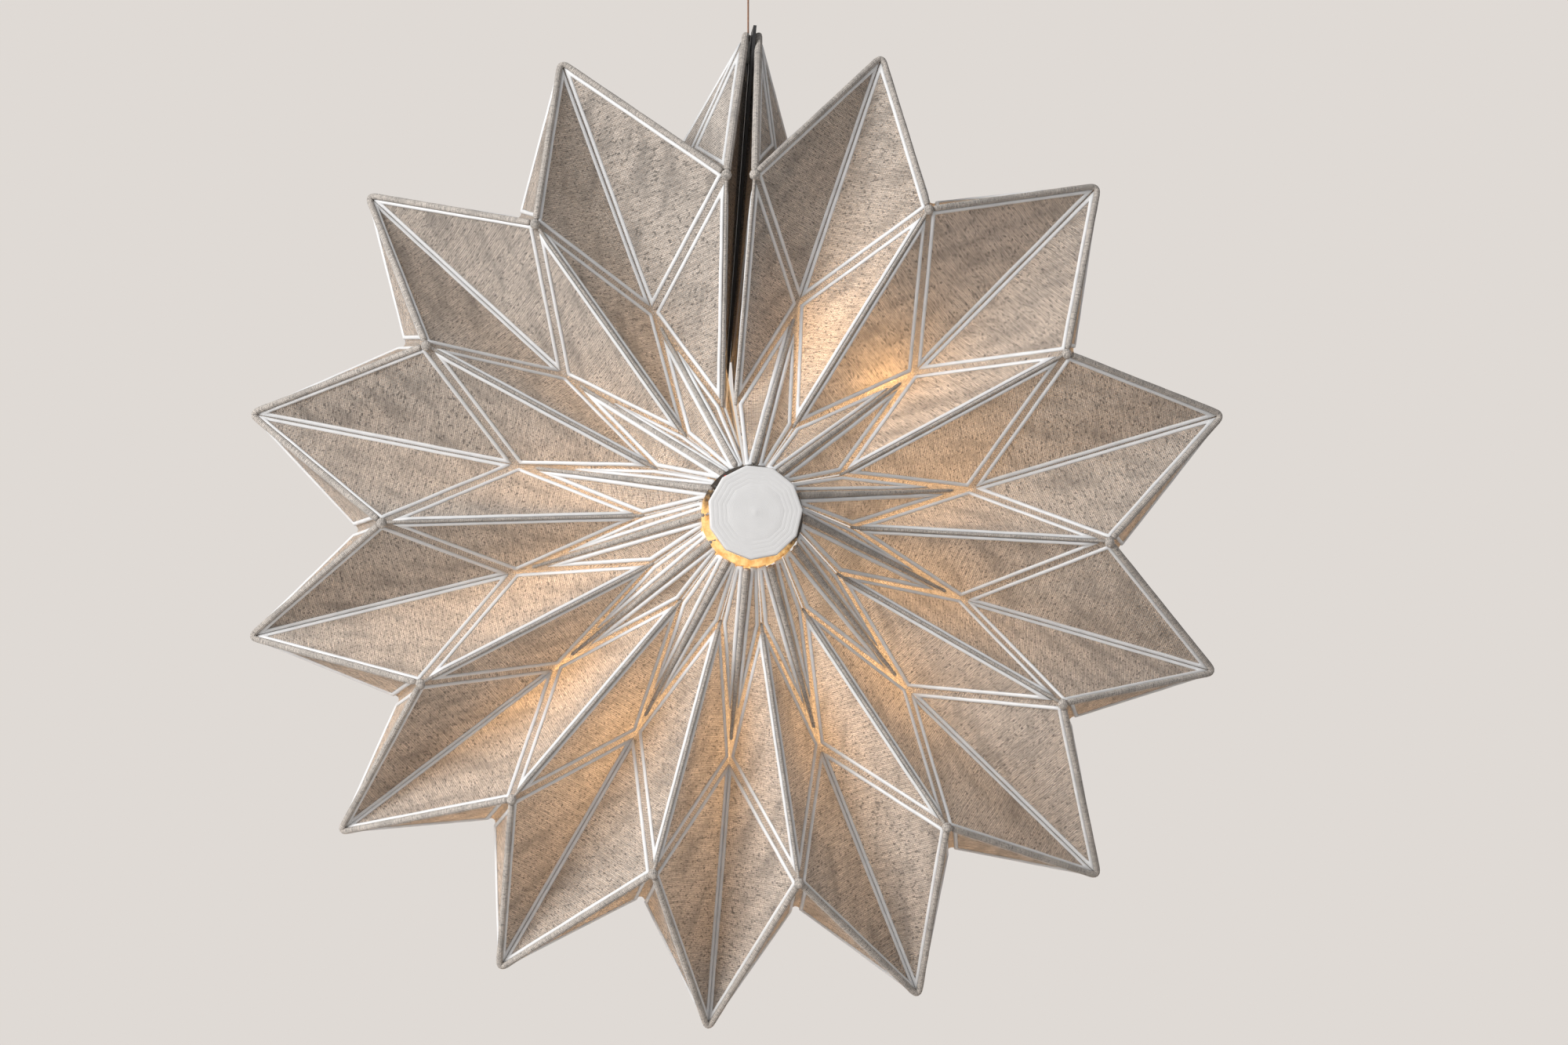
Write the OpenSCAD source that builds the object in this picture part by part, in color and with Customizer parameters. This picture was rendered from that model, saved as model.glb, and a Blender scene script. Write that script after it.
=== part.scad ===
// Folded star lampshade: a pleated fabric star with a printed rib frame on every panel,
// fanned round a hub that carries a light strip, with a push-on cap and a hanging wire.
// Lengths are millimetres and angles degrees. Heights are measured forward from the notches.

/* [Star outline] */
// Radius of the petal tips
tip_radius = 159; // [140:1:200]
// Radius of the front notches between petals
notch_radius = 115; // [95:1:140]
// Radius at which the fold down the middle of a petal ends
valley_radius = 74; // [60:1:90]
// Radius at which the ridge from a notch ends
ridge_radius = 33; // [27:0.5:40]
// Radius of the hole that the pleats leave round the hub
hole_radius = 16; // [15:0.1:19.2]
// Radius of the two notches at the seam
seam_notch_radius = 110; // [95:1:132]
// Radius at which the ridges from those two notches end
seam_ridge_radius = 37; // [31:0.5:44]
// Radius at which the fold down the middle of the seam's petal ends
seam_valley_radius = 54; // [45:1:64]
// Radius of the rear notches
rim_radius = 122; // [101:1:147]
// Radius of the rear hem on a petal's middle line
hem_radius = 108; // [90:1:130]

/* [Star depth] */
// Depth of the tips behind the front notches
tip_depth = 29; // [20:0.5:36]
// Extra depth of a tip for each degree that its petal is closed
tip_gain = 1.75; // [0:0.05:2]
// Depth of the inner end of a petal's middle fold
valley_depth = 23.5; // [18:0.5:28]
// Extra depth of that end for each degree that its petal is closed
valley_gain = 0.5; // [0:0.05:0.6]
// Depth of the inner end of a notch ridge
ridge_depth = 3; // [0:0.5:6]
// Height of the crests at the hole
crest_height = 11.5; // [9:0.5:14]
// Depth of the rear notches
rim_depth = 26; // [20:0.5:32]
// Depth of the rear hem
hem_depth = 52; // [42:0.5:62]

/* [Seam] */
// How much further out the two tips at the seam stand
seam_tip_gain = 2; // [0:0.5:6]
// Depth of the two tips at the seam
seam_tip_depth = 46; // [38:0.5:56]
// Depth of the inner end of the seam folds
seam_valley_depth = 31; // [24:0.5:38]
// Depth of the rear hem at the seam
seam_hem_depth = 56; // [47:0.5:67]
// Sideways room from the spine's face to a seam tip
seam_tip_room = 3.3; // [2.5:0.1:4.5]
// Sideways room from the spine's face to the inner end of a seam fold
seam_valley_room = 2.2; // [1.7:0.1:3]
// Angle by which the rear notches at the seam stand away from the front ones
seam_rim_turn = 4; // [2:0.1:5]
// Angle by which the rear hems at the seam stand away from the front notches
seam_hem_turn = 12; // [8:0.5:13]
// Angle from the last crest on each side to the pleat's cut end at the seam
seam_pleat_turn = 8; // [6:0.5:8]

/* [Panels] */
// Thickness of the fabric
fabric_thick = 0.3; // [0.2:0.05:0.4]
// Bare margin from a fold to the panel's fabric solid
fabric_inset = 0.5; // [0.4:0.05:0.6]
// The same on a petal's side of the fold across it, which blunts the notch corner
blunt_inset = 0.7; // [0.5:0.05:0.75]
// The same at a fold shared by two petals
shared_inset = 0.95; // [0.85:0.05:1.2]
// Width of a printed rib
rib_width = 1.5; // [1:0.1:1.7]
// Height of a printed rib
rib_height = 0.5; // [0.3:0.05:0.55]
// Margin from a fold to its rib
rib_inset = 0.95; // [0.85:0.05:1.3]
// Margin from a fold to its rib at the rear valley between two petals
gutter_rib_inset = 1.8; // [1.6:0.1:2.2]
// How far inside the hole's radius the lines of a pleat's two long ribs would meet
pleat_reach = 1.4; // [1:0.1:1.6]
// Share of the way from a crest to its gutter at which they would meet
pleat_share = 0.4; // [0.3:0.05:0.5]

/* [Hub] */
// Outer radius of the hub tube
hub_radius = 8; // [7:0.1:9]
// Wall of the hub tube
hub_wall = 1.5; // [1:0.1:2]
// Height of the front end of the hub tube, on which the cap sits
hub_front = 21.3; // [18:0.1:25]
// Depth of the rear end of the hub tube
hub_rear = 44; // [40:0.5:56]
// Height of the collar's front edge
collar_front = 13; // [11:0.5:15]
// Height of the collar's rear edge
collar_rear = 4; // [2:0.5:5]
// Wall of the collar's rim
collar_wall = 2.5; // [2:0.1:3]
// Width of a collar spoke
spoke_width = 2; // [1.5:0.1:3]
// Length of a collar spoke along the hub
spoke_depth = 4; // [3:0.5:6]
// Room between the pleats and what they turn on
pleat_room = 0.45; // [0.4:0.05:0.6]

/* [Cap] */
// Radius of the cap's corners
cap_radius = 14.8; // [13:0.1:16]
// Thickness of the cap's plate
cap_thick = 3.2; // [2:0.1:5]
// Angle of the cap's first corner
cap_turn = 3; // [0:1:32]
// Bevel round the cap's front edge
cap_bevel = 0.5; // [0.2:0.1:1]
// Length of the cap's plug in the hub tube
plug_length = 12; // [8:0.5:15]
// Radial slip between the plug and the tube
plug_slip = 0.05; // [0.02:0.01:0.1]

/* [Light] */
// Width of the light strip
strip_width = 8; // [6:0.5:9]
// Depth of the middle of the light strip
strip_depth = 8; // [7:0.5:10]
// Thickness of the light strip
strip_thick = 0.5; // [0.3:0.1:0.8]
// Side of a light chip
chip_side = 2.6; // [2:0.1:3]
// Height of a light chip
chip_height = 0.8; // [0.5:0.1:1.2]
// Diameter of a lead
lead_d = 1; // [0.8:0.1:1.2]
// Bore radius of the cord gland
gland_bore = 2.2; // [1.8:0.1:3]
// Length of the gland inside the tube
gland_length = 8; // [6:0.5:10]
// Thickness of the gland's flange
gland_flange = 2; // [1.5:0.1:3]

/* [Hanging] */
// Thickness of the seam spine
spine_thick = 1; // [0.8:0.1:1.2]
// Depth of the spine's strip
spine_width = 10; // [8:0.5:12]
// Diameter of the hanging wire
wire_d = 0.6; // [0.5:0.1:0.8]
// Bore radius of the eyelet at the wire's top
eyelet_bore = 3; // [2.5:0.1:4]
// Thickness of the eyelet's ring
eyelet_ring = 1.6; // [1.2:0.1:2]
// Width of the eyelet along its bore
eyelet_width = 2.4; // [2:0.1:3]
// Height of the spine's top above the seam tips
spine_rise = 5; // [3:0.5:8]
// Length of the hanging wire
wire_length = 34.1; // [20:0.1:60]

/* [Hidden] */
$fn = 64;
PETALS = 13;
CAP_SIDES = 11;
COLLAR_SPOKES = 7;
STRIP_CHIPS = 12;
FIT = 0.05;

// Angle that each petal is opened to, clockwise from the seam, in whole degrees as seen
petal_span = [29, 32, 31, 27, 27, 25, 23, 25, 23, 26, 29, 26, 31];
// Angle of the first notch from the top
first_notch = 1;
span_mean = 27;
// Angle by which each crest's end at the hole is turned from its petal's middle line
crest_turn = [-14, -14, -12, -16, -9, 0, 2, 1, 6, 15, 21, 16, 3];
// Angles by which the inner ends of the two seam ridges are turned from their notches
first_ridge_turn = -7;
last_ridge_turn = -9;

function part_number(k) = k < 10 ? str("0", k) : str(k);
function fabric_name(k) = str("fabric_petal_", part_number(k));
function ribs_name(k) = str("ribs_petal_", part_number(k));

// A point at a radius, at an angle clockwise from the top, at a height forward
function at(r, angle, height) = [r * sin(angle), -height, r * cos(angle)];
function unit(v) = v / norm(v);

// Fold lines of the star
function notch_angle(j) = j == 0 ? first_notch : notch_angle(j - 1) + petal_span[j - 1];
function rim_angle(j) =
    notch_angle(j) + (j == 0 ? seam_rim_turn : j == PETALS ? -seam_rim_turn : 0);
function tip_angle(k) = (notch_angle(k - 1) + notch_angle(k)) / 2;
function closing(k) = span_mean - petal_span[k - 1];
function at_seam(j) = j == 0 || j == PETALS;
function ridge_angle(j) =
    notch_angle(j) + (j == 0 ? first_ridge_turn : j == PETALS ? last_ridge_turn : 0);
function crest_angle(k) = tip_angle(k) + crest_turn[k - 1];
function gutter_angle(j) =
    j == 0 ? crest_angle(1) - seam_pleat_turn
    : j == PETALS ? crest_angle(PETALS) + seam_pleat_turn
    : (crest_angle(j) + crest_angle(j + 1)) / 2;
function pleat_angle(k, j) = gutter_angle(j) - crest_angle(k);

// A point moved along the hub's axis into the plane of three others
function in_plane(q, a, b, c) = let (n = cross(b - a, c - a)) q + [0, n * (a - q) / n[1], 0];

// Points of one half petal, in the order of the names below
function notch_points(j) = [
    at(at_seam(j) ? seam_notch_radius : notch_radius, notch_angle(j), 0),
    at(at_seam(j) ? seam_ridge_radius : ridge_radius, ridge_angle(j), -ridge_depth),
    at(rim_radius, rim_angle(j), -rim_depth)];
function half_points(k, side) = let (
    j = side > 0 ? k : k - 1,
    edge = notch_points(j),
    a = tip_angle(k),
    c = closing(k),
    valley = at(valley_radius, a, -valley_depth - valley_gain * c),
    crest = at(hole_radius, crest_angle(k), crest_height),
    meeting = crest_angle(k) + pleat_share * pleat_angle(k, j)) [
    at(tip_radius, a, -tip_depth - tip_gain * c),
    edge[0],
    valley,
    edge[1],
    crest,
    in_plane(at(hole_radius, gutter_angle(j), 0), valley, crest, edge[1]),
    in_plane(at(hole_radius - pleat_reach, meeting, 0), valley, crest, edge[1]),
    edge[2],
    at(hem_radius, a, -hem_depth)];

// Line of the spine's middle, leaning a little clockwise and back
seam_tip_radius = tip_radius + seam_tip_gain;
foot_rise = 6;
spine_foot = [-7, 36, hub_radius + foot_rise];
spine_top = [5.6, seam_tip_depth, seam_tip_radius + spine_rise];
function spine_x(z) =
    spine_foot[0] + (spine_top[0] - spine_foot[0]) * (z - spine_foot[2]) / (spine_top[2] - spine_foot[2]);
function beside_spine(z, side, room, depth) = [spine_x(z) + side * (spine_thick / 2 + room), depth, z];

// The seam splits one more petal down its middle, and its halves fold in beside the spine
function seam_points(side) = let (j = side > 0 ? 0 : PETALS, edge = notch_points(j)) [
    beside_spine(seam_tip_radius, side, seam_tip_room, seam_tip_depth),
    edge[0],
    beside_spine(seam_valley_radius, side, seam_valley_room, seam_valley_depth),
    edge[1],
    at(hole_radius, gutter_angle(j), crest_height),
    undef,
    undef,
    edge[2],
    at(hem_radius, notch_angle(j) + side * seam_hem_turn, -seam_hem_depth)];

// Panels: corners, and margins of fabric and of rib along the sides from each corner on
TIP = 0;
NOTCH = 1;
VALLEY = 2;
RIDGE = 3;
CREST = 4;
GUTTER = 5;
PLEAT = 6;
RIM = 7;
HEM = 8;
own = fabric_inset;
blunt = blunt_inset;
close = 2 * fabric_inset - blunt_inset;
shared = shared_inset;
rib = rib_inset;
gutter_rib = gutter_rib_inset;
petal_panel = [[TIP, VALLEY, NOTCH], [own, blunt, own], [rib, rib, rib]];
ridge_panel = [[NOTCH, VALLEY, RIDGE], [close, own, shared], [rib, rib, shared]];
crest_panel = [[VALLEY, CREST, GUTTER, RIDGE], [own, own, shared, own], []];
pleat_panel = [[VALLEY, PLEAT, RIDGE], [], [own, shared, rib]];
seam_panel = [[VALLEY, CREST, RIDGE], [own, shared, own], [own, shared, rib]];
rim_panel = [[TIP, NOTCH, RIM], [shared, shared, own], [rib, gutter_rib, rib]];
rear_panel = [[TIP, RIM, HEM], [own, own, own], [rib, rib, rib]];
OUTER_PANELS = [petal_panel, ridge_panel, rim_panel, rear_panel];
HALF_PANELS = concat(OUTER_PANELS, [crest_panel, pleat_panel]);
LEFT_PANELS = concat(OUTER_PANELS, [seam_panel]);

// Corners seen from outside in turn; the mirrored half runs the other way round
function panel_corners(points, panel, side) =
    let (p = [for (i = panel[0]) points[i]], n = len(p))
    side > 0 ? p : [for (i = [0:n - 1]) p[(n - i) % n]];
function panel_margins(m, side) = side > 0 ? m : [for (i = [len(m) - 1:-1:0]) m[i]];

// The panel's plane: first side along x, outside of the star along z
function plane_x(p) = unit(p[1] - p[0]);
function plane_z(p) = unit(cross(p[1] - p[0], p[2] - p[0]));
function plane_y(p) = cross(plane_z(p), plane_x(p));
function plane_matrix(p) = let (x = plane_x(p), y = plane_y(p), z = plane_z(p)) [
    [x[0], y[0], z[0], p[0][0]],
    [x[1], y[1], z[1], p[0][1]],
    [x[2], y[2], z[2], p[0][2]],
    [0, 0, 0, 1]];
function flat(p) = [for (q = p) [(q - p[0]) * plane_x(p), (q - p[0]) * plane_y(p)]];

// An outline with each side moved inward by its own margin, and whether all sides are left
LEAST_SIDE = 0.2;
function inset(t, m) = let (n = len(t)) [for (i = [0:n - 1]) let (
    u = unit(t[i] - t[(i + n - 1) % n]),
    v = unit(t[(i + 1) % n] - t[i]),
    c = u[0] * v[1] - u[1] * v[0])
    t[i] - u * m[i] / c + v * m[(i + n - 1) % n] / c];
function keeps_turn(t, s) = let (n = len(t))
    min([for (i = [0:n - 1]) (s[(i + 1) % n] - s[i]) * unit(t[(i + 1) % n] - t[i])]) > LEAST_SIDE;

module panel_fabric(points, panel, side) {
    p = panel_corners(points, panel, side);
    multmatrix(plane_matrix(p))
        translate([0, 0, -fabric_thick / 2])
            linear_extrude(fabric_thick)
                polygon(inset(flat(p), panel_margins(panel[1], side)));
}

module panel_ribs(points, panel, side) {
    p = panel_corners(points, panel, side);
    m = panel_margins(panel[2], side);
    outside = inset(flat(p), m);
    inside = inset(flat(p), [for (d = m) d + rib_width]);
    multmatrix(plane_matrix(p))
        translate([0, 0, fabric_thick / 2])
            linear_extrude(rib_height)
                difference() {
                    polygon(outside);
                    if (keeps_turn(flat(p), inside)) polygon(inside);
                }
}

module half_fabric(points, panels, side) {
    for (panel = panels)
        if (len(panel[1]) > 0) panel_fabric(points, panel, side);
}

module half_ribs(points, panels, side) {
    for (panel = panels)
        if (len(panel[2]) > 0) panel_ribs(points, panel, side);
}

module fabric_petal(k) {
    color("tan") lamp()
        for (side = [-1, 1]) half_fabric(half_points(k, side), HALF_PANELS, side);
}

module ribs_petal(k) {
    color("white") lamp()
        for (side = [-1, 1]) half_ribs(half_points(k, side), HALF_PANELS, side);
}

function seam_panels(side) = side > 0 ? OUTER_PANELS : LEFT_PANELS;

module fabric_seam(side) {
    color("tan") lamp() half_fabric(seam_points(side), seam_panels(side), side);
}

module ribs_seam(side) {
    color("white") lamp() half_ribs(seam_points(side), seam_panels(side), side);
}

spine_lean = atan2(spine_top[0] - spine_foot[0], spine_top[2] - spine_foot[2]);
spine_slope = atan2(spine_top[1] - spine_foot[1], spine_top[2] - spine_foot[2]);
clip_length = 15;
clip_thick = 2;
clip_width = 4;
clip_below_top = 4;
wire_seat = 0.3;
neck_radius = 0.9;
neck_length = 5;
neck_sunk = 0.4;
eyelet_outer = eyelet_bore + eyelet_ring;

// The lamp hangs below the origin, which is the middle of the eyelet's bore
wire_x = spine_top[0] - clip_below_top * sin(spine_lean) - (spine_thick + clip_thick) / 2;
clip_top = spine_top[2] - clip_below_top;
hang_height = clip_top + wire_seat + wire_length + neck_length + eyelet_outer;
module lamp() {
    translate([-wire_x, -spine_top[1], -hang_height]) children();
}

// Round work along the hub's axis, from one height to another
module along_axis(low, high) {
    rotate([90, 0, 0]) translate([0, 0, low]) linear_extrude(high - low) children();
}

module ring(outer, inner) {
    difference() {
        circle(outer);
        circle(inner);
    }
}

bore_radius = hub_radius - hub_wall;
lug_cheek = 2.5;
lug_end = 1.5;
lug_top = spine_foot[2] + 12;
slot_half = spine_thick / 2 + FIT;
lug_half = slot_half + lug_cheek;
lead_slot = 5;
lead_slot_rear = 24;
lead_slot_front = 15;

module spine_frame() {
    translate(spine_foot) rotate([-spine_slope, 0, 0]) rotate([0, spine_lean, 0]) children();
}

spine_length = norm(spine_top - spine_foot);

module hub_post() {
    color("ivory") lamp() difference() {
        union() {
            along_axis(-hub_rear, hub_front) circle(hub_radius);
            intersection() {
                spine_frame()
                    translate([-lug_half, -spine_width / 2 - lug_end, -spine_foot[2]])
                        cube([2 * lug_half, spine_width + 2 * lug_end, lug_top]);
                along_axis(-hub_rear, 0) circle(lug_top);
            }
        }
        along_axis(-hub_rear - 1, hub_front + 1) circle(bore_radius);
        spine_frame()
            translate([-slot_half, -spine_width / 2 - FIT, 0])
                cube([2 * slot_half, spine_width + 2 * FIT, lug_top]);
        rotate([0, lead_angle, 0])
            translate([-lead_slot / 2, lead_slot_front, bore_radius / 2])
                cube([lead_slot, lead_slot_rear - lead_slot_front, hub_radius]);
    }
}

// The pleats' cut ends are chords of the hole, set back by their margin
widest_pleat = max([for (k = [1:PETALS], j = [k - 1, k]) abs(pleat_angle(k, j))]);
collar_radius = hole_radius * cos(widest_pleat / 2) + fabric_inset - pleat_room;

module pleat_collar() {
    color("moccasin") lamp() {
        along_axis(collar_rear, collar_front) ring(collar_radius, collar_radius - collar_wall);
        along_axis(collar_rear, collar_rear + spoke_depth) intersection() {
            ring(collar_radius - collar_wall, hub_radius + FIT);
            for (i = [1:COLLAR_SPOKES])
                rotate((i - 0.5) * 360 / COLLAR_SPOKES)
                    translate([-spoke_width / 2, 0]) square([spoke_width, collar_radius]);
        }
    }
}

strip_inner = hub_radius + FIT;
strip_outer = strip_inner + strip_thick;

module led_strip() {
    color("gold") lamp()
        along_axis(-strip_depth - strip_width / 2, -strip_depth + strip_width / 2)
            ring(strip_outer, strip_inner);
}

module led_chips() {
    color("lightyellow") lamp()
        for (i = [1:STRIP_CHIPS])
            rotate([0, i * 360 / STRIP_CHIPS, 0])
                translate([-chip_side / 2, strip_depth - chip_side / 2, strip_outer])
                    cube([chip_side, chip_side, chip_height]);
}

module end_cap() {
    color("white") lamp() {
        along_axis(hub_front, hub_front + cap_thick - cap_bevel)
            rotate(cap_turn) circle(cap_radius, $fn = CAP_SIDES);
        along_axis(hub_front + cap_thick - cap_bevel, hub_front + cap_thick)
            rotate(cap_turn) circle(cap_radius - cap_bevel, $fn = CAP_SIDES);
        along_axis(hub_front - plug_length, hub_front) circle(bore_radius - plug_slip);
    }
}

module cord_gland() {
    color("dimgray") lamp() {
        along_axis(-hub_rear - gland_flange, -hub_rear) ring(hub_radius, gland_bore);
        along_axis(-hub_rear, -hub_rear + gland_length) ring(bore_radius - FIT, gland_bore);
    }
}

connector = [8, 10, 5];

module lead_connector() {
    color("whitesmoke") lamp()
        translate([-connector[0] / 2, hub_rear - gland_length - connector[1], -connector[2] / 2])
            cube(connector);
}

// A round tube through smoothed points
WIRE_RINGS = 20;
TUBE_SIDES = 8;
TUBE_STEPS = 5;
function smooth(a, b, c, d, t) =
    b + (c - a) * t / 2 + (2 * a - 5 * b + 4 * c - d) * t * t / 2 + (3 * b - a - 3 * c + d) * t * t * t / 2;
function smooth_path(p) = let (n = len(p)) concat(
    [for (i = [0:n - 2], s = [0:TUBE_STEPS - 1])
        smooth(p[max(i - 1, 0)], p[i], p[i + 1], p[min(i + 2, n - 1)], s / TUBE_STEPS)],
    [p[n - 1]]);
function path_direction(p, i) = unit(p[min(i + 1, len(p) - 1)] - p[max(i - 1, 0)]);

module tube(path, d, across) {
    n = len(path);
    rings = [for (i = [0:n - 1]) let (
        t = path_direction(path, i),
        u = unit(cross(t, across)),
        v = cross(t, u))
        for (s = [0:TUBE_SIDES - 1])
            path[i] + d / 2 * (u * cos(s * 360 / TUBE_SIDES) + v * sin(s * 360 / TUBE_SIDES))];
    walls = [for (i = [0:n - 2], s = [0:TUBE_SIDES - 1]) let (
        a = i * TUBE_SIDES + s,
        b = i * TUBE_SIDES + (s + 1) % TUBE_SIDES)
        for (half = [0, 1]) half == 0 ? [a, b, b + TUBE_SIDES] : [a, b + TUBE_SIDES, a + TUBE_SIDES]];
    first_end = [for (s = [1:TUBE_SIDES - 2]) [0, s + 1, s]];
    last = (n - 1) * TUBE_SIDES;
    last_end = [for (s = [1:TUBE_SIDES - 2]) [last, last + s, last + s + 1]];
    polyhedron(rings, [for (f = concat(walls, first_end, last_end)) [f[0], f[2], f[1]]]);
}

// Leads: from the connector out through the tube's slot, up past the collar, and back to the strip
lead_angle = -65;
lead_turn = 9;
lead_gap = 0.4;
lead_start = -hub_rear + gland_length + connector[1] + lead_gap;
lead_finish = -strip_depth + strip_width / 2 + lead_gap;
lead_run = (hub_radius + collar_radius - collar_wall) / 2;
lead_radii = [3.6, 4.5, hub_radius - 0.5, lead_run - 1, lead_run + 0.8, lead_run + 1, lead_run + 0.6,
    lead_run + 3.9, lead_run + 0.9, strip_outer + 1.7, strip_outer + 1.3, strip_outer + 1];
lead_heights = [lead_start, -21, -19.5, -18, -10, 0, 11, 16, 16.5, 8, 0, lead_finish];
lead_turns = [0, 0, 0, 0, 0, 4, 12, 20, 20, 19, 19, 19];
lead_across = [0.3, 0.2, 1];
function lead_path(angle) = smooth_path([for (i = [0:len(lead_radii) - 1])
    at(lead_radii[i], angle + lead_turns[i], lead_heights[i])]);

module lead(angle) {
    tube(lead_path(angle), lead_d, lead_across);
}

module lead_red() {
    color("red") lamp() lead(lead_angle + lead_turn);
}

module lead_black() {
    color("black") lamp() lead(lead_angle - lead_turn);
}

module seam_spine() {
    color("black") lamp() spine_frame()
        translate([-spine_thick / 2, -spine_width / 2, 0])
            cube([spine_thick, spine_width, spine_length]);
}

module wire_clip() {
    color("gainsboro") lamp() spine_frame()
        translate([-spine_thick / 2 - clip_thick, -clip_width / 2, spine_length - clip_below_top - clip_length])
            cube([clip_thick, clip_width, clip_length]);
}

module hanging_eyelet() {
    color("silver") {
        rotate([90, 0, 0]) translate([0, 0, -eyelet_width / 2]) linear_extrude(eyelet_width)
            ring(eyelet_outer, eyelet_bore);
        translate([0, 0, -eyelet_outer - neck_length]) cylinder(r = neck_radius, h = neck_length + neck_sunk);
    }
}

module hanging_wire() {
    high = [0, 0, -eyelet_outer - neck_length];
    low = high - [0, 0, wire_length];
    color("sienna")
        tube([for (i = [0:WIRE_RINGS]) low + (high - low) * i / WIRE_RINGS], wire_d, [0, 1, 0]);
}

hub_post();
pleat_collar();
led_strip();
led_chips();
lead_red();
lead_black();
lead_connector();
cord_gland();
seam_spine();
wire_clip();
hanging_wire();
hanging_eyelet();
end_cap();
for (k = [1:PETALS]) {
    fabric_petal(k);
    ribs_petal(k);
}
fabric_seam(-1);  // fabric_seam_left
fabric_seam(1);  // fabric_seam_right
ribs_seam(-1);  // ribs_seam_left
ribs_seam(1);  // ribs_seam_right
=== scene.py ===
"""Looks of a folded star lampshade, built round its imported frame."""
import math
import random

import bmesh
import bpy
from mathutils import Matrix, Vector, noise
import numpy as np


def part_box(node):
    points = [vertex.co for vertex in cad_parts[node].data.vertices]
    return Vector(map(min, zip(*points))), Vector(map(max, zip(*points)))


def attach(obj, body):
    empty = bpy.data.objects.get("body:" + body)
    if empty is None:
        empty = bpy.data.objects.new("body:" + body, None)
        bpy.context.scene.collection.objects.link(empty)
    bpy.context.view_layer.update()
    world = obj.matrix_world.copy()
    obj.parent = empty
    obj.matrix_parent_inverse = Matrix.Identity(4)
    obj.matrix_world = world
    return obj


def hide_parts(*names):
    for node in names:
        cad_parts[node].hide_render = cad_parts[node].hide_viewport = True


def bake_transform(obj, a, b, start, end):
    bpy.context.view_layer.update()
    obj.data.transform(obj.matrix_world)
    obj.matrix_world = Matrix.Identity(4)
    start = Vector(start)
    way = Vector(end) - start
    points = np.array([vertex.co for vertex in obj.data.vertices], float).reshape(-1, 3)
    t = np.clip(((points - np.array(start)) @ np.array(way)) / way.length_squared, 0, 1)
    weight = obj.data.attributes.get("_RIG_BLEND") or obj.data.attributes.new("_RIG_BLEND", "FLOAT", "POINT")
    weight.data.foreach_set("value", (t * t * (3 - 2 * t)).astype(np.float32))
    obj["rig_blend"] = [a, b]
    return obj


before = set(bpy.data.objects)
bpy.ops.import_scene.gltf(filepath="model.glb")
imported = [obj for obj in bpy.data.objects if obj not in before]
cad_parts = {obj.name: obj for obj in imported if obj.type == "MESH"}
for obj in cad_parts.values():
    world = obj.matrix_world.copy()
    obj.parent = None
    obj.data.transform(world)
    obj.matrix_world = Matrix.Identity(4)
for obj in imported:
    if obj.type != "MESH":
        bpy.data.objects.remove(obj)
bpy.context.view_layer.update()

# Sizes of the lamp, in millimetres and degrees
MM = 0.001
PETALS = 13
PETAL_SPANS = (29, 32, 31, 27, 27, 25, 23, 25, 23, 26, 29, 26, 31)
CREST_TURNS = (-14, -14, -12, -16, -9, 0, 2, 1, 6, 15, 21, 16, 3)
TIP_TURNS = (1, 0, -1, 0, 0.5, -0.5, 0, 1, 1, 1, -1, 0.5, -1)
VALLEY_TURNS = (-1.5, 2, 3, 1.5, 1, 1, -0.5, -0.5, 1, 2, 1, -1, -2.5)
RIDGE_TURNS = (-7, -4, 1.5, 0.5, 0.5, 1, 0.5, 0, -0.5, 2, 3, 1, -0.5, -9)
FIRST_NOTCH = 1
SPAN_MEAN = 27
TIP_RADIUS = 160.5
NOTCH_RADIUS = 115
VALLEY_RADIUS = 74
RIDGE_RADIUS = 33
HOLE_RADIUS = 16
RIM_RADIUS = 122
HEM_RADIUS = 108
TIP_DEPTH = 29
TIP_GAIN = 1.75
VALLEY_DEPTH = 23.5
VALLEY_GAIN = 0.5
RIDGE_DEPTH = 3
CREST_HEIGHT = 11.5
CREST_REACH = 1.7
CREST_RISE = 1.1
CREST_SIDE_FROM = 0.1
CREST_SIDE_FULL = 0.8
RIM_DEPTH = 26
HEM_DEPTH = 52
SEAM_TIP_RADIUS = 164.5
SEAM_NOTCH_RADIUS = 110
SEAM_RIDGE_RADIUS = 37
SEAM_VALLEY_RADIUS = 54
SEAM_TIP_DEPTH = 46
SEAM_VALLEY_DEPTH = 31
SEAM_HEM_DEPTH = 56
SEAM_TIP_ROOM = {1: 1.8, -1: 2.4}
SEAM_VALLEY_ROOM = 1.2
SEAM_NOTCH_TURN = 1.3
SEAM_RIM_TURN = 4
SEAM_HEM_TURN = 12
SEAM_PLEAT_TURN = 8
SPINE_FOOT = Vector((-7, 36, 14))
SPINE_TOP = Vector((5.6, 46, 166))
COLLAR_FRONT = 13
RIB_WIDTH = 1.4
HALF_RIB = RIB_WIDTH / 2
RIB_TOP = 0.68
CREST_RIB_INSET = 0.6
GUTTER_RIB_INSET = 0.9
HUB_FRONT = 21.3
CAP_RADIUS = 14.8
CAP_SIDES = 11
CAP_TURN = 3
CAP_THICK = 3.2
PLUG_RADIUS = 6.45
PLUG_LENGTH = 12
WIRE_DIAMETER = 0.6

# The petal that stays with the hub, and the petals that carry a half at the seam, with its side
HUB_PETAL = 7
SEAM_SIDES = {1: 1, PETALS: -1}
SEAM_LABELS = {1: "right", -1: "left"}

# The lamp's axis and the plane of its front notches, read from the collar
collar_low, collar_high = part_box("pleat_collar")
LAMP = Vector((
    (collar_low.x + collar_high.x) / 2,
    collar_low.y + COLLAR_FRONT * MM,
    (collar_low.z + collar_high.z) / 2,
))


def at(radius, angle, height):
    """A point at a radius, at an angle clockwise from the top, at a height forward."""
    turn = math.radians(angle)
    return Vector((radius * math.sin(turn), -height, radius * math.cos(turn)))


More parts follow.
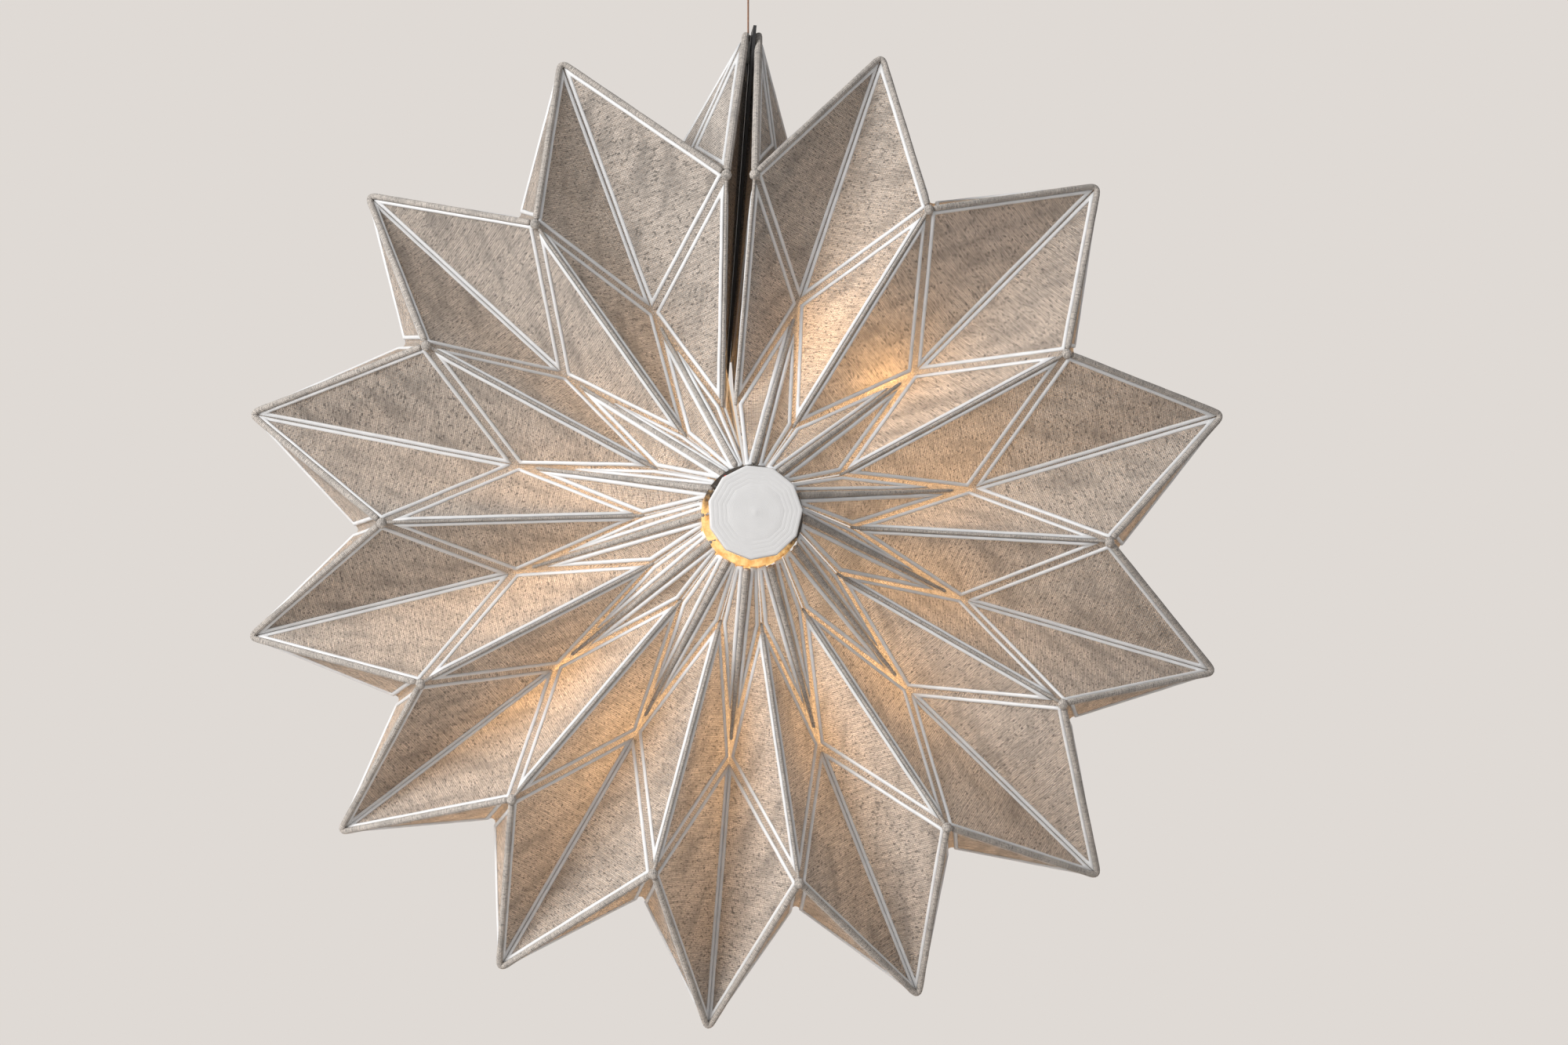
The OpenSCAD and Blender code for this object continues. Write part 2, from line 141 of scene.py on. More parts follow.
def place(point):
    """A point of the lamp in the row frame."""
    return LAMP + point * MM


def ease(low, high, x):
    """From 0 at low to 1 at high, smoothly."""
    t = min(1, max(0, (x - low) / (high - low)))
    return t * t * (3 - 2 * t)


def nearness(gap, reach):
    """From 1 at no gap, fading past the reach."""
    return math.exp(-((gap / reach) ** 2))


# Fold lines of the star
def notch_angle(j):
    return FIRST_NOTCH + sum(PETAL_SPANS[:j])


def tip_angle(k):
    return (notch_angle(k - 1) + notch_angle(k)) / 2


def crest_angle(k):
    return tip_angle(k) + CREST_TURNS[k - 1]


def crest_point(angle):
    """The pleat's end at the hole, further in on the side where the pleats are pressed to the hub."""
    leftness = -math.sin(math.radians(angle))
    reach = CREST_REACH * ease(CREST_SIDE_FROM, CREST_SIDE_FULL, leftness)
    return at(HOLE_RADIUS - reach, angle, CREST_HEIGHT + CREST_RISE * reach)


def gutter_angle(j):
    if j == 0:
        return crest_angle(1) - SEAM_PLEAT_TURN
    if j == PETALS:
        return crest_angle(PETALS) + SEAM_PLEAT_TURN
    return (crest_angle(j) + crest_angle(j + 1)) / 2


def notch_points(j):
    """The front and rear notch and the inner end of the ridge between them."""
    angle = notch_angle(j) + (SEAM_NOTCH_TURN if j == PETALS else 0)
    rim_turn = {0: SEAM_RIM_TURN, PETALS: -SEAM_RIM_TURN}.get(j, 0)
    at_seam = j in (0, PETALS)
    notch_radius = SEAM_NOTCH_RADIUS if at_seam else NOTCH_RADIUS
    ridge_radius = SEAM_RIDGE_RADIUS if at_seam else RIDGE_RADIUS
    return {
        "notch": at(notch_radius, angle, 0),
        "ridge": at(ridge_radius, angle + RIDGE_TURNS[j], -RIDGE_DEPTH),
        "rim": at(RIM_RADIUS, angle + rim_turn, -RIM_DEPTH),
    }


def normal_of(a, b, c):
    return (b - a).cross(c - a)


def in_plane(point, a, b, c):
    """A point moved along the lamp's axis into the plane of three others."""
    normal = normal_of(a, b, c)
    return point + Vector((0, normal.dot(a - point) / normal.y, 0))


def petal_points(k, side):
    """The corners of one half of a petal."""
    j = k if side > 0 else k - 1
    points = notch_points(j)
    angle = tip_angle(k)
    closing = SPAN_MEAN - PETAL_SPANS[k - 1]
    points["tip"] = at(TIP_RADIUS, angle + TIP_TURNS[k - 1], -TIP_DEPTH - TIP_GAIN * closing)
    valley_angle = angle + VALLEY_TURNS[k - 1]
    points["valley"] = at(VALLEY_RADIUS, valley_angle, -VALLEY_DEPTH - VALLEY_GAIN * closing)
    points["crest"] = crest_point(crest_angle(k))
    points["hem"] = at(HEM_RADIUS, angle, -HEM_DEPTH)
    flat_gutter = at(HOLE_RADIUS, gutter_angle(j), 0)
    points["gutter"] = in_plane(flat_gutter, points["valley"], points["crest"], points["ridge"])
    return points


def beside_spine(z, room, depth):
    """A point at a height and a depth, with room beside the middle of the leaning spine."""
    share = (z - SPINE_FOOT.z) / (SPINE_TOP.z - SPINE_FOOT.z)
    return Vector((SPINE_FOOT.x + (SPINE_TOP.x - SPINE_FOOT.x) * share + room, depth, z))


def seam_points(side):
    """The corners of the half petal on one side of the seam, which has no gutter."""
    j = 0 if side > 0 else PETALS
    tip_room = side * SEAM_TIP_ROOM[side]
    valley_room = side * SEAM_VALLEY_ROOM
    points = notch_points(j)
    points["tip"] = beside_spine(SEAM_TIP_RADIUS, tip_room, SEAM_TIP_DEPTH)
    points["valley"] = beside_spine(SEAM_VALLEY_RADIUS, valley_room, SEAM_VALLEY_DEPTH)
    points["hem"] = at(HEM_RADIUS, notch_angle(j) + side * SEAM_HEM_TURN, -SEAM_HEM_DEPTH)
    points["crest"] = crest_point(gutter_angle(j))
    return points


# Panels: corners, then for the sides from each corner on: how worn and greyed with painted shade, how thin,
# and the rib's margin
PANELS = {
    "petal": (("tip", "valley", "notch"), (0.3, 0.15, 1), (0, 0, 0), (0.35, 1.1, 0.8)),
    "ridge": (("notch", "valley", "ridge"), (0.15, 0, 1), (0, 1, 0), (1.1, 0.9, 0.75)),
    "rim": (("tip", "notch", "rim"), (1, 0.5, 0.6), (0, 0, 0), (0.8, 1.8, 0.9)),
    "rear": (("tip", "rim", "hem"), (0.6, 0.2, 0.6), (0, 0, 0), (0.9, 0.9, 0.9)),
    "crest": (("valley", "crest", "ridge"), (1, 0, 0), (0, 0, 1), None),
    "gutter": (("crest", "gutter", "ridge"), (0.6, 0, 0), (0, 0, 0), None),
}
OUTER_PANELS = ("petal", "ridge", "rim", "rear")
INNER_PANELS = ("crest", "gutter")
SEAM_PANELS = {1: OUTER_PANELS, -1: OUTER_PANELS + ("crest",)}

# How the half petal unfolds flat: a new corner, the side it lies over, and the corner across that side
UNFOLD = (
    ("notch", "tip", "valley", None),
    ("ridge", "notch", "valley", "tip"),
    ("rim", "tip", "notch", "valley"),
    ("crest", "valley", "ridge", "notch"),
    ("gutter", "crest", "ridge", "valley"),
    ("hem", "tip", "rim", "notch"),
)


def third_corner(a, b, reach_a, reach_b, away):
    """The flat point at a reach from each of two others, on the far side from away."""
    span = b - a
    along = (reach_a ** 2 - reach_b ** 2 + span.length_squared) / (2 * span.length)
    off = math.sqrt(max(0, reach_a ** 2 - along ** 2))
    along_way = span.normalized()
    across = Vector((along_way.y, -along_way.x))
    if (away - a).dot(across) > 0:
        across = -across
    return a + along_way * along + across * off


def unfold(points, side):
    """The half petal's corners laid out flat, with its middle fold along the second axis."""
    length = (points["tip"] - points["valley"]).length
    flat = {"valley": Vector((0, 0)), "tip": Vector((0, length))}
    for name, a, b, away in UNFOLD:
        if not {name, a, b} <= points.keys():
            continue
        opposite = flat[away] if away else Vector((-side, 0))
        reach_a = (points[name] - points[a]).length
        reach_b = (points[name] - points[b]).length
        flat[name] = third_corner(flat[a], flat[b], reach_a, reach_b, opposite)
    return flat


# Cloth of the petals
CLOTH_SEED = 100
PANEL_STEPS = 22
EVEN_SHARE = 0.2
FOLD_ROUNDING = 1.5
FOLD_PASSES = 8
FOLD_MARK_REACH = 1.5
# Inner panels grey over a wider reach: painted shade between the pleats at the hub, with wear
CREST_WEAR_AND_SHADE_REACH = 4
CUT_OFFSET = 1.05
PATTERN = "pattern"
WEAR_AND_SHADE = "wear_and_shade"
THIN = "thin"
INNER = "inner"
WELD = 0.01

# The torn edge at the hole
RAGGED_REACH = 3.5
TORN_LEAST = -0.6
TORN_MOST = 0.7
TORN_SIDEWAYS = 0.4
TORN_FROM = 0.3
TORN_FULL = -0.9
TORN_LOW = 1.3
TORN_BASE = 0.3
TORN_UNEVEN = 1.6
TORN_COARSE = 0.5
TORN_FINE = 1.2
TORN_FINE_SHARE = 0.9
TORN_BACK = 0.5

# Sag and ripples of a panel, whose three shares have a product of 1 in 27 at its middle
MIDDLE_GAIN = 27
SAG_LEAST = -0.03
SAG_MOST = 0.012
SAG_FROM = 1.8
SAG_FULL = 8
LEAN_MOST = 0.5
SEED_MOST = 90
RIPPLE_WIDE = 5
RIPPLE_LONG = 38
RIPPLE_HIGH = 0.8
RIPPLE_FINE = 2.3
RIPPLE_FINE_HIGH = 0.3


def warp(share):
    """Grid rows drawn towards the folds."""
    return EVEN_SHARE * share + (1 - EVEN_SHARE) * share * share * (3 - 2 * share)


def ragged(point):
    """Cloth at the hole, with its cut edge torn back unevenly, most at the bottom."""
    radius = math.hypot(point.x, point.z)
    reach = max(0, 1 - (radius - HOLE_RADIUS) / RAGGED_REACH)
    low = ease(TORN_FROM, TORN_FULL, (point.z + TORN_SIDEWAYS * point.x) / radius)
    uneven = noise.noise(point * TORN_COARSE) + TORN_FINE_SHARE * noise.noise(point * TORN_FINE)
    torn = TORN_LOW * low - TORN_BASE + TORN_UNEVEN * uneven
    amount = reach * min(TORN_MOST, max(TORN_LEAST, torn))
    way = Vector((point.x / radius, TORN_BACK, point.z / radius)).normalized()
    return point + way * amount


def ripple(spot, lean, seed):
    streak = Vector(((spot.x + lean * spot.y) / RIPPLE_WIDE, spot.y / RIPPLE_LONG, seed))
    return noise.noise(streak) * RIPPLE_HIGH + noise.noise(streak * RIPPLE_FINE) * RIPPLE_FINE_HIGH


def new_cloth():
    bm = bmesh.new()
    bm.verts.layers.float_vector.new(PATTERN)
    bm.verts.layers.float.new(WEAR_AND_SHADE)
    bm.verts.layers.float.new(THIN)
    bm.faces.layers.int.new(INNER)
    return bm


def mark(bm, vert, pattern, wear_and_shade, thin):
    """Gives a vertex its place in the knit, its wear and painted shade, and its thinness."""
    layers = bm.verts.layers
    vert[layers.float_vector[PATTERN]] = pattern
    vert[layers.float[WEAR_AND_SHADE]] = wear_and_shade
    vert[layers.float[THIN]] = thin


def drop_faces(bm, tag):
    """The cloth without the faces of one kind, inner or outer."""
    kind = bm.faces.layers.int[INNER]
    bmesh.ops.delete(bm, geom=[f for f in bm.faces if f[kind] == tag], context="FACES")
    return bm


def join_mesh(bm, other):
    """Adds another mesh and welds the two where they meet."""
    spare = bpy.data.meshes.new("spare")
    other.to_mesh(spare)
    other.free()
    bm.from_mesh(spare)
    bpy.data.meshes.remove(spare)
    bmesh.ops.remove_doubles(bm, verts=bm.verts, dist=WELD)


def panel_heights(corners):
    """For each side of a panel, the height of the corner across from it."""
    area = normal_of(*corners).length
    return [area / (corners[(i + 1) % 3] - corners[i]).length for i in range(3)]


def wear_and_shade_of(panel, gaps):
    """How much wear and painted shade greys a panel, and how thin it is, at the given distances from its
    sides.
    """
    _, wear_and_shade, thin, _ = PANELS[panel]
    reach = CREST_WEAR_AND_SHADE_REACH if panel in INNER_PANELS else FOLD_MARK_REACH
    nearby_wear_and_shade = [nearness(g, reach) for g in gaps]
    fade = [nearness(g, FOLD_MARK_REACH) for g in gaps]
    return max(w * f for w, f in zip(wear_and_shade, nearby_wear_and_shade)), max(t * f for t, f in zip(thin, fade))


def add_panel(bm, points, flat, panel, side, chance):
    """Adds one panel with its sag and ripples, and gives back its vertices near the folds."""
    names = PANELS[panel][0]
    corners = [points[n] for n in names]
    heights = panel_heights(corners)
    normal = normal_of(*corners) * side
    size = math.sqrt(normal.length / 2)
    normal.normalize()
    dense = 0 if "gutter" in points else 1
    sag = chance.uniform(SAG_LEAST, SAG_MOST) * size
    lean = chance.uniform(-LEAN_MOST, LEAN_MOST)
    seed = chance.uniform(0, SEED_MOST)
    soft = []
    grid = {}
    for i in range(PANEL_STEPS + 1):
        for j in range(PANEL_STEPS + 1 - i):
            raw = [warp(x / PANEL_STEPS) for x in (i, j, PANEL_STEPS - i - j)]
            share = [x / sum(raw) for x in raw]
            point = sum((c * s for c, s in zip(corners, share)), Vector((0, 0, 0)))
            spot = sum((flat[n] * s for n, s in zip(names, share)), Vector((0, 0)))
            gaps = [share[(e + 2) % 3] * heights[e] for e in range(3)]
            near = min(gaps)
            bulge = MIDDLE_GAIN * share[0] * share[1] * share[2] * ease(SAG_FROM, SAG_FULL, near)
            lift = bulge * (sag + ripple(spot, lean, seed))
            vert = bm.verts.new(ragged(point + normal * lift))
            wear_and_shade, thin = wear_and_shade_of(panel, gaps)
            mark(bm, vert, Vector((spot.x, spot.y, seed)), wear_and_shade, thin - dense)
            if near < FOLD_ROUNDING:
                soft.append(vert)
            grid[i, j] = vert
    inner = bm.faces.layers.int[INNER]
    for i in range(PANEL_STEPS):
        for j in range(PANEL_STEPS - i):
            rings = [(grid[i, j], grid[i + 1, j], grid[i, j + 1])]
            if i + j < PANEL_STEPS - 1:
                rings.append((grid[i + 1, j], grid[i + 1, j + 1], grid[i, j + 1]))
            for ring in rings:
                face = bm.faces.new(ring if side < 0 else tuple(reversed(ring)))
                face[inner] = panel in INNER_PANELS
    return soft


def smooth(bm, verts):
    for _ in range(FOLD_PASSES):
        bmesh.ops.smooth_vert(
            bm, verts=verts, factor=0.5, use_axis_x=True, use_axis_y=True, use_axis_z=True
        )


def cloth_of(halves, seed):
    """One welded cloth of half petals, each given as points, panels and side, with rounded folds."""
    bm = new_cloth()
    chance = random.Random(seed)
    soft = []
    for points, panels, side in halves:
        flat = unfold(points, side)
        for panel in panels:
            soft += add_panel(bm, points, flat, panel, side, chance)
    bmesh.ops.remove_doubles(bm, verts=bm.verts, dist=WELD)
    smooth(bm, [v for v in soft if v.is_valid and not v.is_boundary])
    return bm


def petal_halves(k):
    """The two halves of a petal, and the half at the seam that goes with it."""
    halves = [(petal_points(k, side), tuple(PANELS), side) for side in (-1, 1)]
    if k in SEAM_SIDES:
        side = SEAM_SIDES[k]
        halves.append((seam_points(side), SEAM_PANELS[side], side))
    return halves


def way_across(start, end):
    """The way across a line, clockwise for one that runs outward."""
    along = end - start
    return Vector((along.z, 0, -along.x)).normalized()


def across_notch(j):
    """The way across notch j's ridge, towards the later petal."""
    points = notch_points(j)
    return way_across(points["ridge"], points["notch"])


def keep_side(bm, j, offset, after):
    """Cuts the cloth beside the plane of notch j and keeps what lies after or before it."""
    way = across_notch(j)
    everything = bm.verts[:] + bm.edges[:] + bm.faces[:]
    bmesh.ops.bisect_plane(
        bm, geom=everything, plane_co=notch_points(j)["notch"] + way * offset,
        plane_no=way, clear_inner=after, clear_outer=not after,
    )


# Pieces
def body_of_petal(k):
    return "hub" if k == HUB_PETAL else f"petal_{k:02d}"


def link_object(name, data):
    obj = bpy.data.objects.new(name, data)
    bpy.context.scene.collection.objects.link(obj)
    return obj


def piece(name, bm, material):
    """A smooth mesh object in the row frame from work in lamp millimetres."""
    for vert in bm.verts:
        vert.co = place(vert.co)
    for face in bm.faces:
        face.smooth = True
    mesh = bpy.data.meshes.new(name)
    bm.to_mesh(mesh)
    bm.free()
    mesh.materials.append(material)
    return link_object(name, mesh)


def stand_for(obj, body, slot, *nodes):
    """A piece rides on a body and stands for CAD nodes; the slot is not used."""
    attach(obj, body)
    for node in nodes:
        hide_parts(node)


# Rounded welts where the cloth is folded sharply
WELT_RADIUS = 1
# Greying of the welts and of the turned-in edge: partly wear, partly painted shade
WELT_WEAR_AND_SHADE = 0.8
WELT_DENSE = -1.3
WELT_CORNER = 3.5
WELT_BEND = (0.2, 0.35, 0.5, 0.65, 0.8)
WELT_END = 2.6
WELT_STEP = 3
WELT_SIDES = 10
WELT_CAP_ANGLES = (1.4, 1.0, 0.5)
WELT_UNEVEN = 0.08
WELT_UNEVEN_SCALE = 0.4
SEAM_WELT = 1.25
SEAM_TIP_END = 1.2
RIDGE_WELT = 0.5
RIDGE_WELT_START = 1
CREST_WELT = (0.5, 1.1)
CREST_WELT_START = 7
CREST_WELT_END = 1.5
CREST_SUNK = 0.4
NODE_RADIUS = 1.6
NODE_BACK = Vector((0, 0.6, 0))
NODE_FRONT = Vector((0, 0.1, 0.4))
SEAM_NODE = 1.7
GUTTER_ROOM = 0.17
GUTTER_SOFT = 0.6
TURN_IN = 3
TURN_IN_ROOM = 0.56

# Seeds of the welts' unevenness
PETAL_WELT_SEED = 3
SEAM_WELT_SEED = 60
SEAM_RIDGE_SEED = 70
SEAM_NODE_SEED = 80
RIDGE_SEED = 90
NODE_SEED = 120


def straight(start, end):
    """Points from start to end, about a step apart."""
    count = max(1, round((end - start).length / WELT_STEP))
    return [start.lerp(end, i / count) for i in range(count + 1)]


def past(point, towards, reach):
    """A point moved by a reach towards another."""
    return point + (towards - point).normalized() * reach


def welt_stations(path, radii):
    """Middle and radius of each ring of a welt, with round ends."""
    first = (path[0] - path[1]).normalized()
    last = (path[-1] - path[-2]).normalized()
    ends = [(math.sin(a), math.cos(a)) for a in WELT_CAP_ANGLES]
    stations = [(path[0] + first * radii[0] * s, radii[0] * c) for s, c in ends]
    stations += list(zip(path, radii))
    stations += [(path[-1] + last * radii[-1] * s, radii[-1] * c) for s, c in reversed(ends)]
    return stations


def add_welt(bm, path, radii, seed):
    """A closed tube of folded cloth along a path."""
    stations = welt_stations(path, radii)
    forward = Vector((0, -1, 0))
    rings = []
    run = 0
    for i, (point, radius) in enumerate(stations):
        before = stations[max(0, i - 1)][0]
        tangent = stations[min(len(stations) - 1, i + 1)][0] - before
        run += (point - before).length
        across = tangent.cross(forward).normalized()
        up = across.cross(tangent).normalized()
        ring = []
        for s in range(WELT_SIDES):
            turn = 2 * math.pi * s / WELT_SIDES
            spot = point * WELT_UNEVEN_SCALE + Vector((seed, s, 0))
            uneven = 1 + WELT_UNEVEN * noise.noise(spot)
            outward = across * math.cos(turn) + up * math.sin(turn)
            vert = bm.verts.new(point + outward * radius * uneven)
            mark(bm, vert, Vector((turn * WELT_RADIUS, run, seed)), WELT_WEAR_AND_SHADE, WELT_DENSE)
            ring.append(vert)
        rings.append(ring)
    outlines = [tuple(reversed(rings[0])), tuple(rings[-1])]
    for a, b in zip(rings, rings[1:]):
        for s in range(WELT_SIDES):
            t = (s + 1) % WELT_SIDES
            outlines.append((a[s], a[t], b[t], b[s]))
    made = [bm.faces.new(outline) for outline in outlines]
    bmesh.ops.recalc_face_normals(bm, faces=made)


def add_even_welt(bm, path, radius, seed):
    add_welt(bm, path, [radius] * len(path), seed)


def add_ridge_welt(bm, points, seed, node_radius, node_seed):
    """The welt along a ridge and the small knot of cloth at its notch."""
    notch = points["notch"]
    ridge = straight(past(notch, points["ridge"], RIDGE_WELT_START), points["ridge"])
    add_even_welt(bm, ridge, RIDGE_WELT, seed)
    add_even_welt(bm, [notch + NODE_BACK, notch - NODE_FRONT], node_radius, node_seed)


def add_petal_welts(bm, k):
    """The welt from notch to notch round the tip, and the one along the crest."""
    left = petal_points(k, -1)
    right = petal_points(k, 1)
    tip = left["tip"]
    start = past(tip, left["notch"], WELT_CORNER)
    end = past(tip, right["notch"], WELT_CORNER)
    path = straight(past(left["notch"], tip, WELT_END), start)
    path += [start * (1 - t) ** 2 + tip * 2 * t * (1 - t) + end * t * t for t in WELT_BEND]
    path += straight(end, past(right["notch"], tip, WELT_END))
    add_even_welt(bm, path, WELT_RADIUS, PETAL_WELT_SEED * k)
    valley, crest = left["valley"], left["crest"]
    line = straight(past(valley, crest, CREST_WELT_START), past(crest, valley, CREST_WELT_END))
    low, high = CREST_WELT
    radii = [low + (high - low) * i / (len(line) - 1) for i in range(len(line))]
    sunk = [point + Vector((0, CREST_SUNK * radius, 0)) for point, radius in zip(line, radii)]
    add_welt(bm, sunk, radii, PETAL_WELT_SEED * k + 1)


def add_seam_welts(bm, side):
    """The welts of a half at the seam, from its notch to its tip and along its ridge."""
    points = seam_points(side)
    notch, tip = points["notch"], points["tip"]
    path = straight(past(notch, tip, WELT_END), past(tip, notch, SEAM_TIP_END))
    add_even_welt(bm, path, SEAM_WELT, SEAM_WELT_SEED + side)
    add_ridge_welt(bm, points, SEAM_RIDGE_SEED + side, SEAM_NODE, SEAM_NODE_SEED + side)


def add_turn_in(bm, side):
    """The cut edge of a half at the seam, turned in against the spine."""
    points = seam_points(side)
    last = None
    for edge in straight(points["tip"], points["valley"]):
        against = beside_spine(edge.z, side * TURN_IN_ROOM, edge.y + TURN_IN)
        pair = [bm.verts.new(edge), bm.verts.new(against)]
        for i, vert in enumerate(pair):
            mark(bm, vert, Vector((i * TURN_IN, edge.z, side)), WELT_WEAR_AND_SHADE, WELT_DENSE)
        if last:
            bm.faces.new((last[0], pair[0], pair[1], last[1]))
        last = pair


def leave_room(bm, k):
    """Draws the cloth back a little from the gutters that it shares with the petals beside it."""
    for side, j in ((-1, k - 1), (1, k)):
        if j in (0, PETALS):
            continue
        points = petal_points(k, side)
        way = way_across(points["gutter"], points["ridge"]) * side
        for vert in bm.verts:
            off = (vert.co - points["ridge"]).dot(way)
            vert.co -= way * GUTTER_ROOM * nearness(off, GUTTER_SOFT)


def make_band(j, before, after, material):
    """The fold between two petals, which bends with both."""
    bm = before.copy()
    keep_side(bm, j, -CUT_OFFSET, True)
    other = after.copy()
    keep_side(other, j, CUT_OFFSET, False)
    join_mesh(bm, other)
    smooth(bm, [v for v in bm.verts if not v.is_boundary])
    points = notch_points(j)
    add_ridge_welt(bm, points, RIDGE_SEED + j, NODE_RADIUS, NODE_SEED + j)
    obj = piece(f"cloth_fold_{j:02d}", bm, material)
    way = across_notch(j) * CUT_OFFSET
    middle = points["notch"]
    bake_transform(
        obj, body_of_petal(j), body_of_petal(j + 1),
        start=place(middle - way), end=place(middle + way),
    )


def make_cloth(material):
    cloths = {k: cloth_of(petal_halves(k), CLOTH_SEED + k) for k in range(1, PETALS + 1)}
    outers = {k: drop_faces(bm.copy(), True) for k, bm in cloths.items()}
    for j in range(1, PETALS):
        make_band(j, outers[j], outers[j + 1], material)
    for k, outer in outers.items():
        if k > 1:
            keep_side(outer, k - 1, CUT_OFFSET, True)
        if k < PETALS:
            keep_side(outer, k, -CUT_OFFSET, False)
        bm = drop_faces(cloths[k], False)
        leave_room(bm, k)
        join_mesh(bm, outer)
        add_petal_welts(bm, k)
        nodes = [f"fabric_petal_{k:02d}"]
        if k in SEAM_SIDES:
            side = SEAM_SIDES[k]
            add_seam_welts(bm, side)
            add_turn_in(bm, side)
            nodes.append(f"fabric_seam_{SEAM_LABELS[side]}")
        obj = piece(f"cloth_petal_{k:02d}", bm, material)
        stand_for(obj, body_of_petal(k), "fabric", *nodes)


# Printed ribs
RIB_STEP = 4
RIB_RING = 7
RIB_POINT = 2.6
RIB_SUNK = 0.04
RIB_SHRINK = 0.8
PLEAT_START = 0.5
PLEAT_END = 0.82
PLEAT_MARGIN = 0.7
SEAM_RIB_ROOM = 0.35
SEAM_RIB_PANELS = ("ridge", "rim", "rear")

# Unevenness of the beads, and its seeds
RIB_NOISE = 0.11
RIB_SIDEWAYS = 0.15
RIB_WIDTH_UNEVEN = 0.1
RIB_WIDTH_NOISE = 2.7
RIB_TOP_UNEVEN = 0.12
RIB_TOP_NOISE = 3.1
RIB_SEED = 40
RIB_SIDE_SEED = 17
RIB_PANEL_SEED = 7
SEAM_RIB_SEED = 700


def inset_corners(corners, normal, margins):
    """An outline's corners with each side moved inward by its own margin."""
    moved = []
    count = len(corners)
    for i in range(count):
        before = (corners[i] - corners[i - 1]).normalized()
        after = (corners[(i + 1) % count] - corners[i]).normalized()
        turn = before.cross(after).dot(normal)
        moved.append(corners[i] - before * margins[i] / turn + after * margins[i - 1] / turn)
    return moved


def keeps_turn(corners, moved):
    """Whether no side of an outline has turned round as its corners moved."""
    pairs = list(zip(corners, moved))
    following = pairs[1:] + pairs[:1]
    return all((c - a).dot(d - b) > 0 for (a, b), (c, d) in zip(pairs, following))


def rib_stations(corners):
    """Points round an outline, each with the reach from the bead's middle to its outer edge."""
    stations = []
    count = len(corners)
    ways = [(corners[(i + 1) % count] - corners[i]).normalized() for i in range(count)]
    turns = [ways[i].angle(-ways[i - 1]) / 2 for i in range(count)]
    for i, here in enumerate(corners):
        after = (i + 1) % count
        inward = (ways[i] - ways[i - 1]).normalized()
        stations.append((here, inward * -min(RIB_POINT, HALF_RIB / math.sin(turns[i])), ways[i]))
        start = HALF_RIB / math.tan(turns[i]) + HALF_RIB
        end = HALF_RIB / math.tan(turns[after]) + HALF_RIB
        stretch = (corners[after] - here).length - start - end
        steps = max(1, round(stretch / RIB_STEP))
        for s in range(steps + 1 if stretch > 0 else 0):
            stations.append((here + ways[i] * (start + stretch * s / steps), None, ways[i]))
    return stations


def add_rib(bm, corners, normal, seed):
    """A rounded bead round an outline, mitred at its corners."""
    rings = []
    for point, outward, way in rib_stations(corners):
        spot = point * RIB_NOISE + Vector((seed, 0, 0))
        if outward is None:
            wide = 1 + RIB_WIDTH_UNEVEN * noise.noise(spot * RIB_WIDTH_NOISE)
            outward = way.cross(normal) * (HALF_RIB * wide)
            point = point + outward * noise.noise(spot) * RIB_SIDEWAYS
        top_spot = spot * RIB_TOP_NOISE + Vector((0, seed, 0))
        high = RIB_TOP * (1 + RIB_TOP_UNEVEN * noise.noise(top_spot))
        ring = []
        for s in range(RIB_RING):
            turn = math.pi * s / (RIB_RING - 1)
            lift = high * math.sin(turn) - RIB_SUNK
            ring.append(bm.verts.new(point + outward * math.cos(turn) + normal * lift))
        rings.append(ring)
    for i, ring in enumerate(rings):
        last = rings[i - 1]
        for s in range(RIB_RING):
            t = (s + 1) % RIB_RING
            bm.faces.new((last[s], ring[s], ring[t], last[t]))


def pleat_outline(points):
    """The outline of a pleat's narrow rib loop, and its margins, from the fold to the hole."""
    valley, crest, gutter, ridge = (points[n] for n in ("valley", "crest", "gutter", "ridge"))
    width = (gutter - crest).length
    crest_side = CREST_RIB_INSET + HALF_RIB
    gutter_side = GUTTER_RIB_INSET + HALF_RIB
    first = crest.lerp(gutter, PLEAT_START - crest_side / width)
    second = crest.lerp(gutter, PLEAT_END + gutter_side / width)
    corners = [valley, first, second, ridge]
    return corners, [crest_side, PLEAT_MARGIN, gutter_side, gutter_side]


def panel_outline(points, panel):
    """A panel's outline and rib margins, wider beside the thicker welt of a half at the seam."""
    names, _, _, margins = PANELS[panel]
    sides = [{names[i], names[(i + 1) % 3]} for i in range(3)]
    room = 0 if "gutter" in points else SEAM_WELT - WELT_RADIUS + SEAM_RIB_ROOM
    margins = [m + (room if s == {"tip", "notch"} else 0) for m, s in zip(margins, sides)]
    return [points[n] for n in names], [m + HALF_RIB for m in margins]


def half_outlines(points, side):
    """The outlines and margins of all the beads on one half petal."""
    if "gutter" in points:
        return [panel_outline(points, panel) for panel in OUTER_PANELS] + [pleat_outline(points)]
    outlines = [panel_outline(points, panel) for panel in SEAM_RIB_PANELS]
    if side < 0:
        corners = [points[n] for n in PANELS["crest"][0]]
        outlines.append((corners, [CREST_RIB_INSET + HALF_RIB] * 3))
    return outlines


def add_half_ribs(bm, points, side, seed):
    for number, (corners, margins) in enumerate(half_outlines(points, side)):
        if side < 0:
            corners = [corners[0], *reversed(corners[1:])]
            margins = list(reversed(margins))
        normal = normal_of(*corners[:3]).normalized()
        moved = inset_corners(corners, normal, margins)
        while not keeps_turn(corners, moved):
            margins = [m * RIB_SHRINK for m in margins]
            moved = inset_corners(corners, normal, margins)
        add_rib(bm, moved, normal, seed + number * RIB_PANEL_SEED)


def make_beads(label, body, node, halves, material):
    """One piece of beads, for half petals given as points, side and seed."""
    bm = bmesh.new()
    for points, side, seed in halves:
        add_half_ribs(bm, points, side, seed)
    stand_for(piece(f"rib_beads_{label}", bm, material), body, "rib", node)


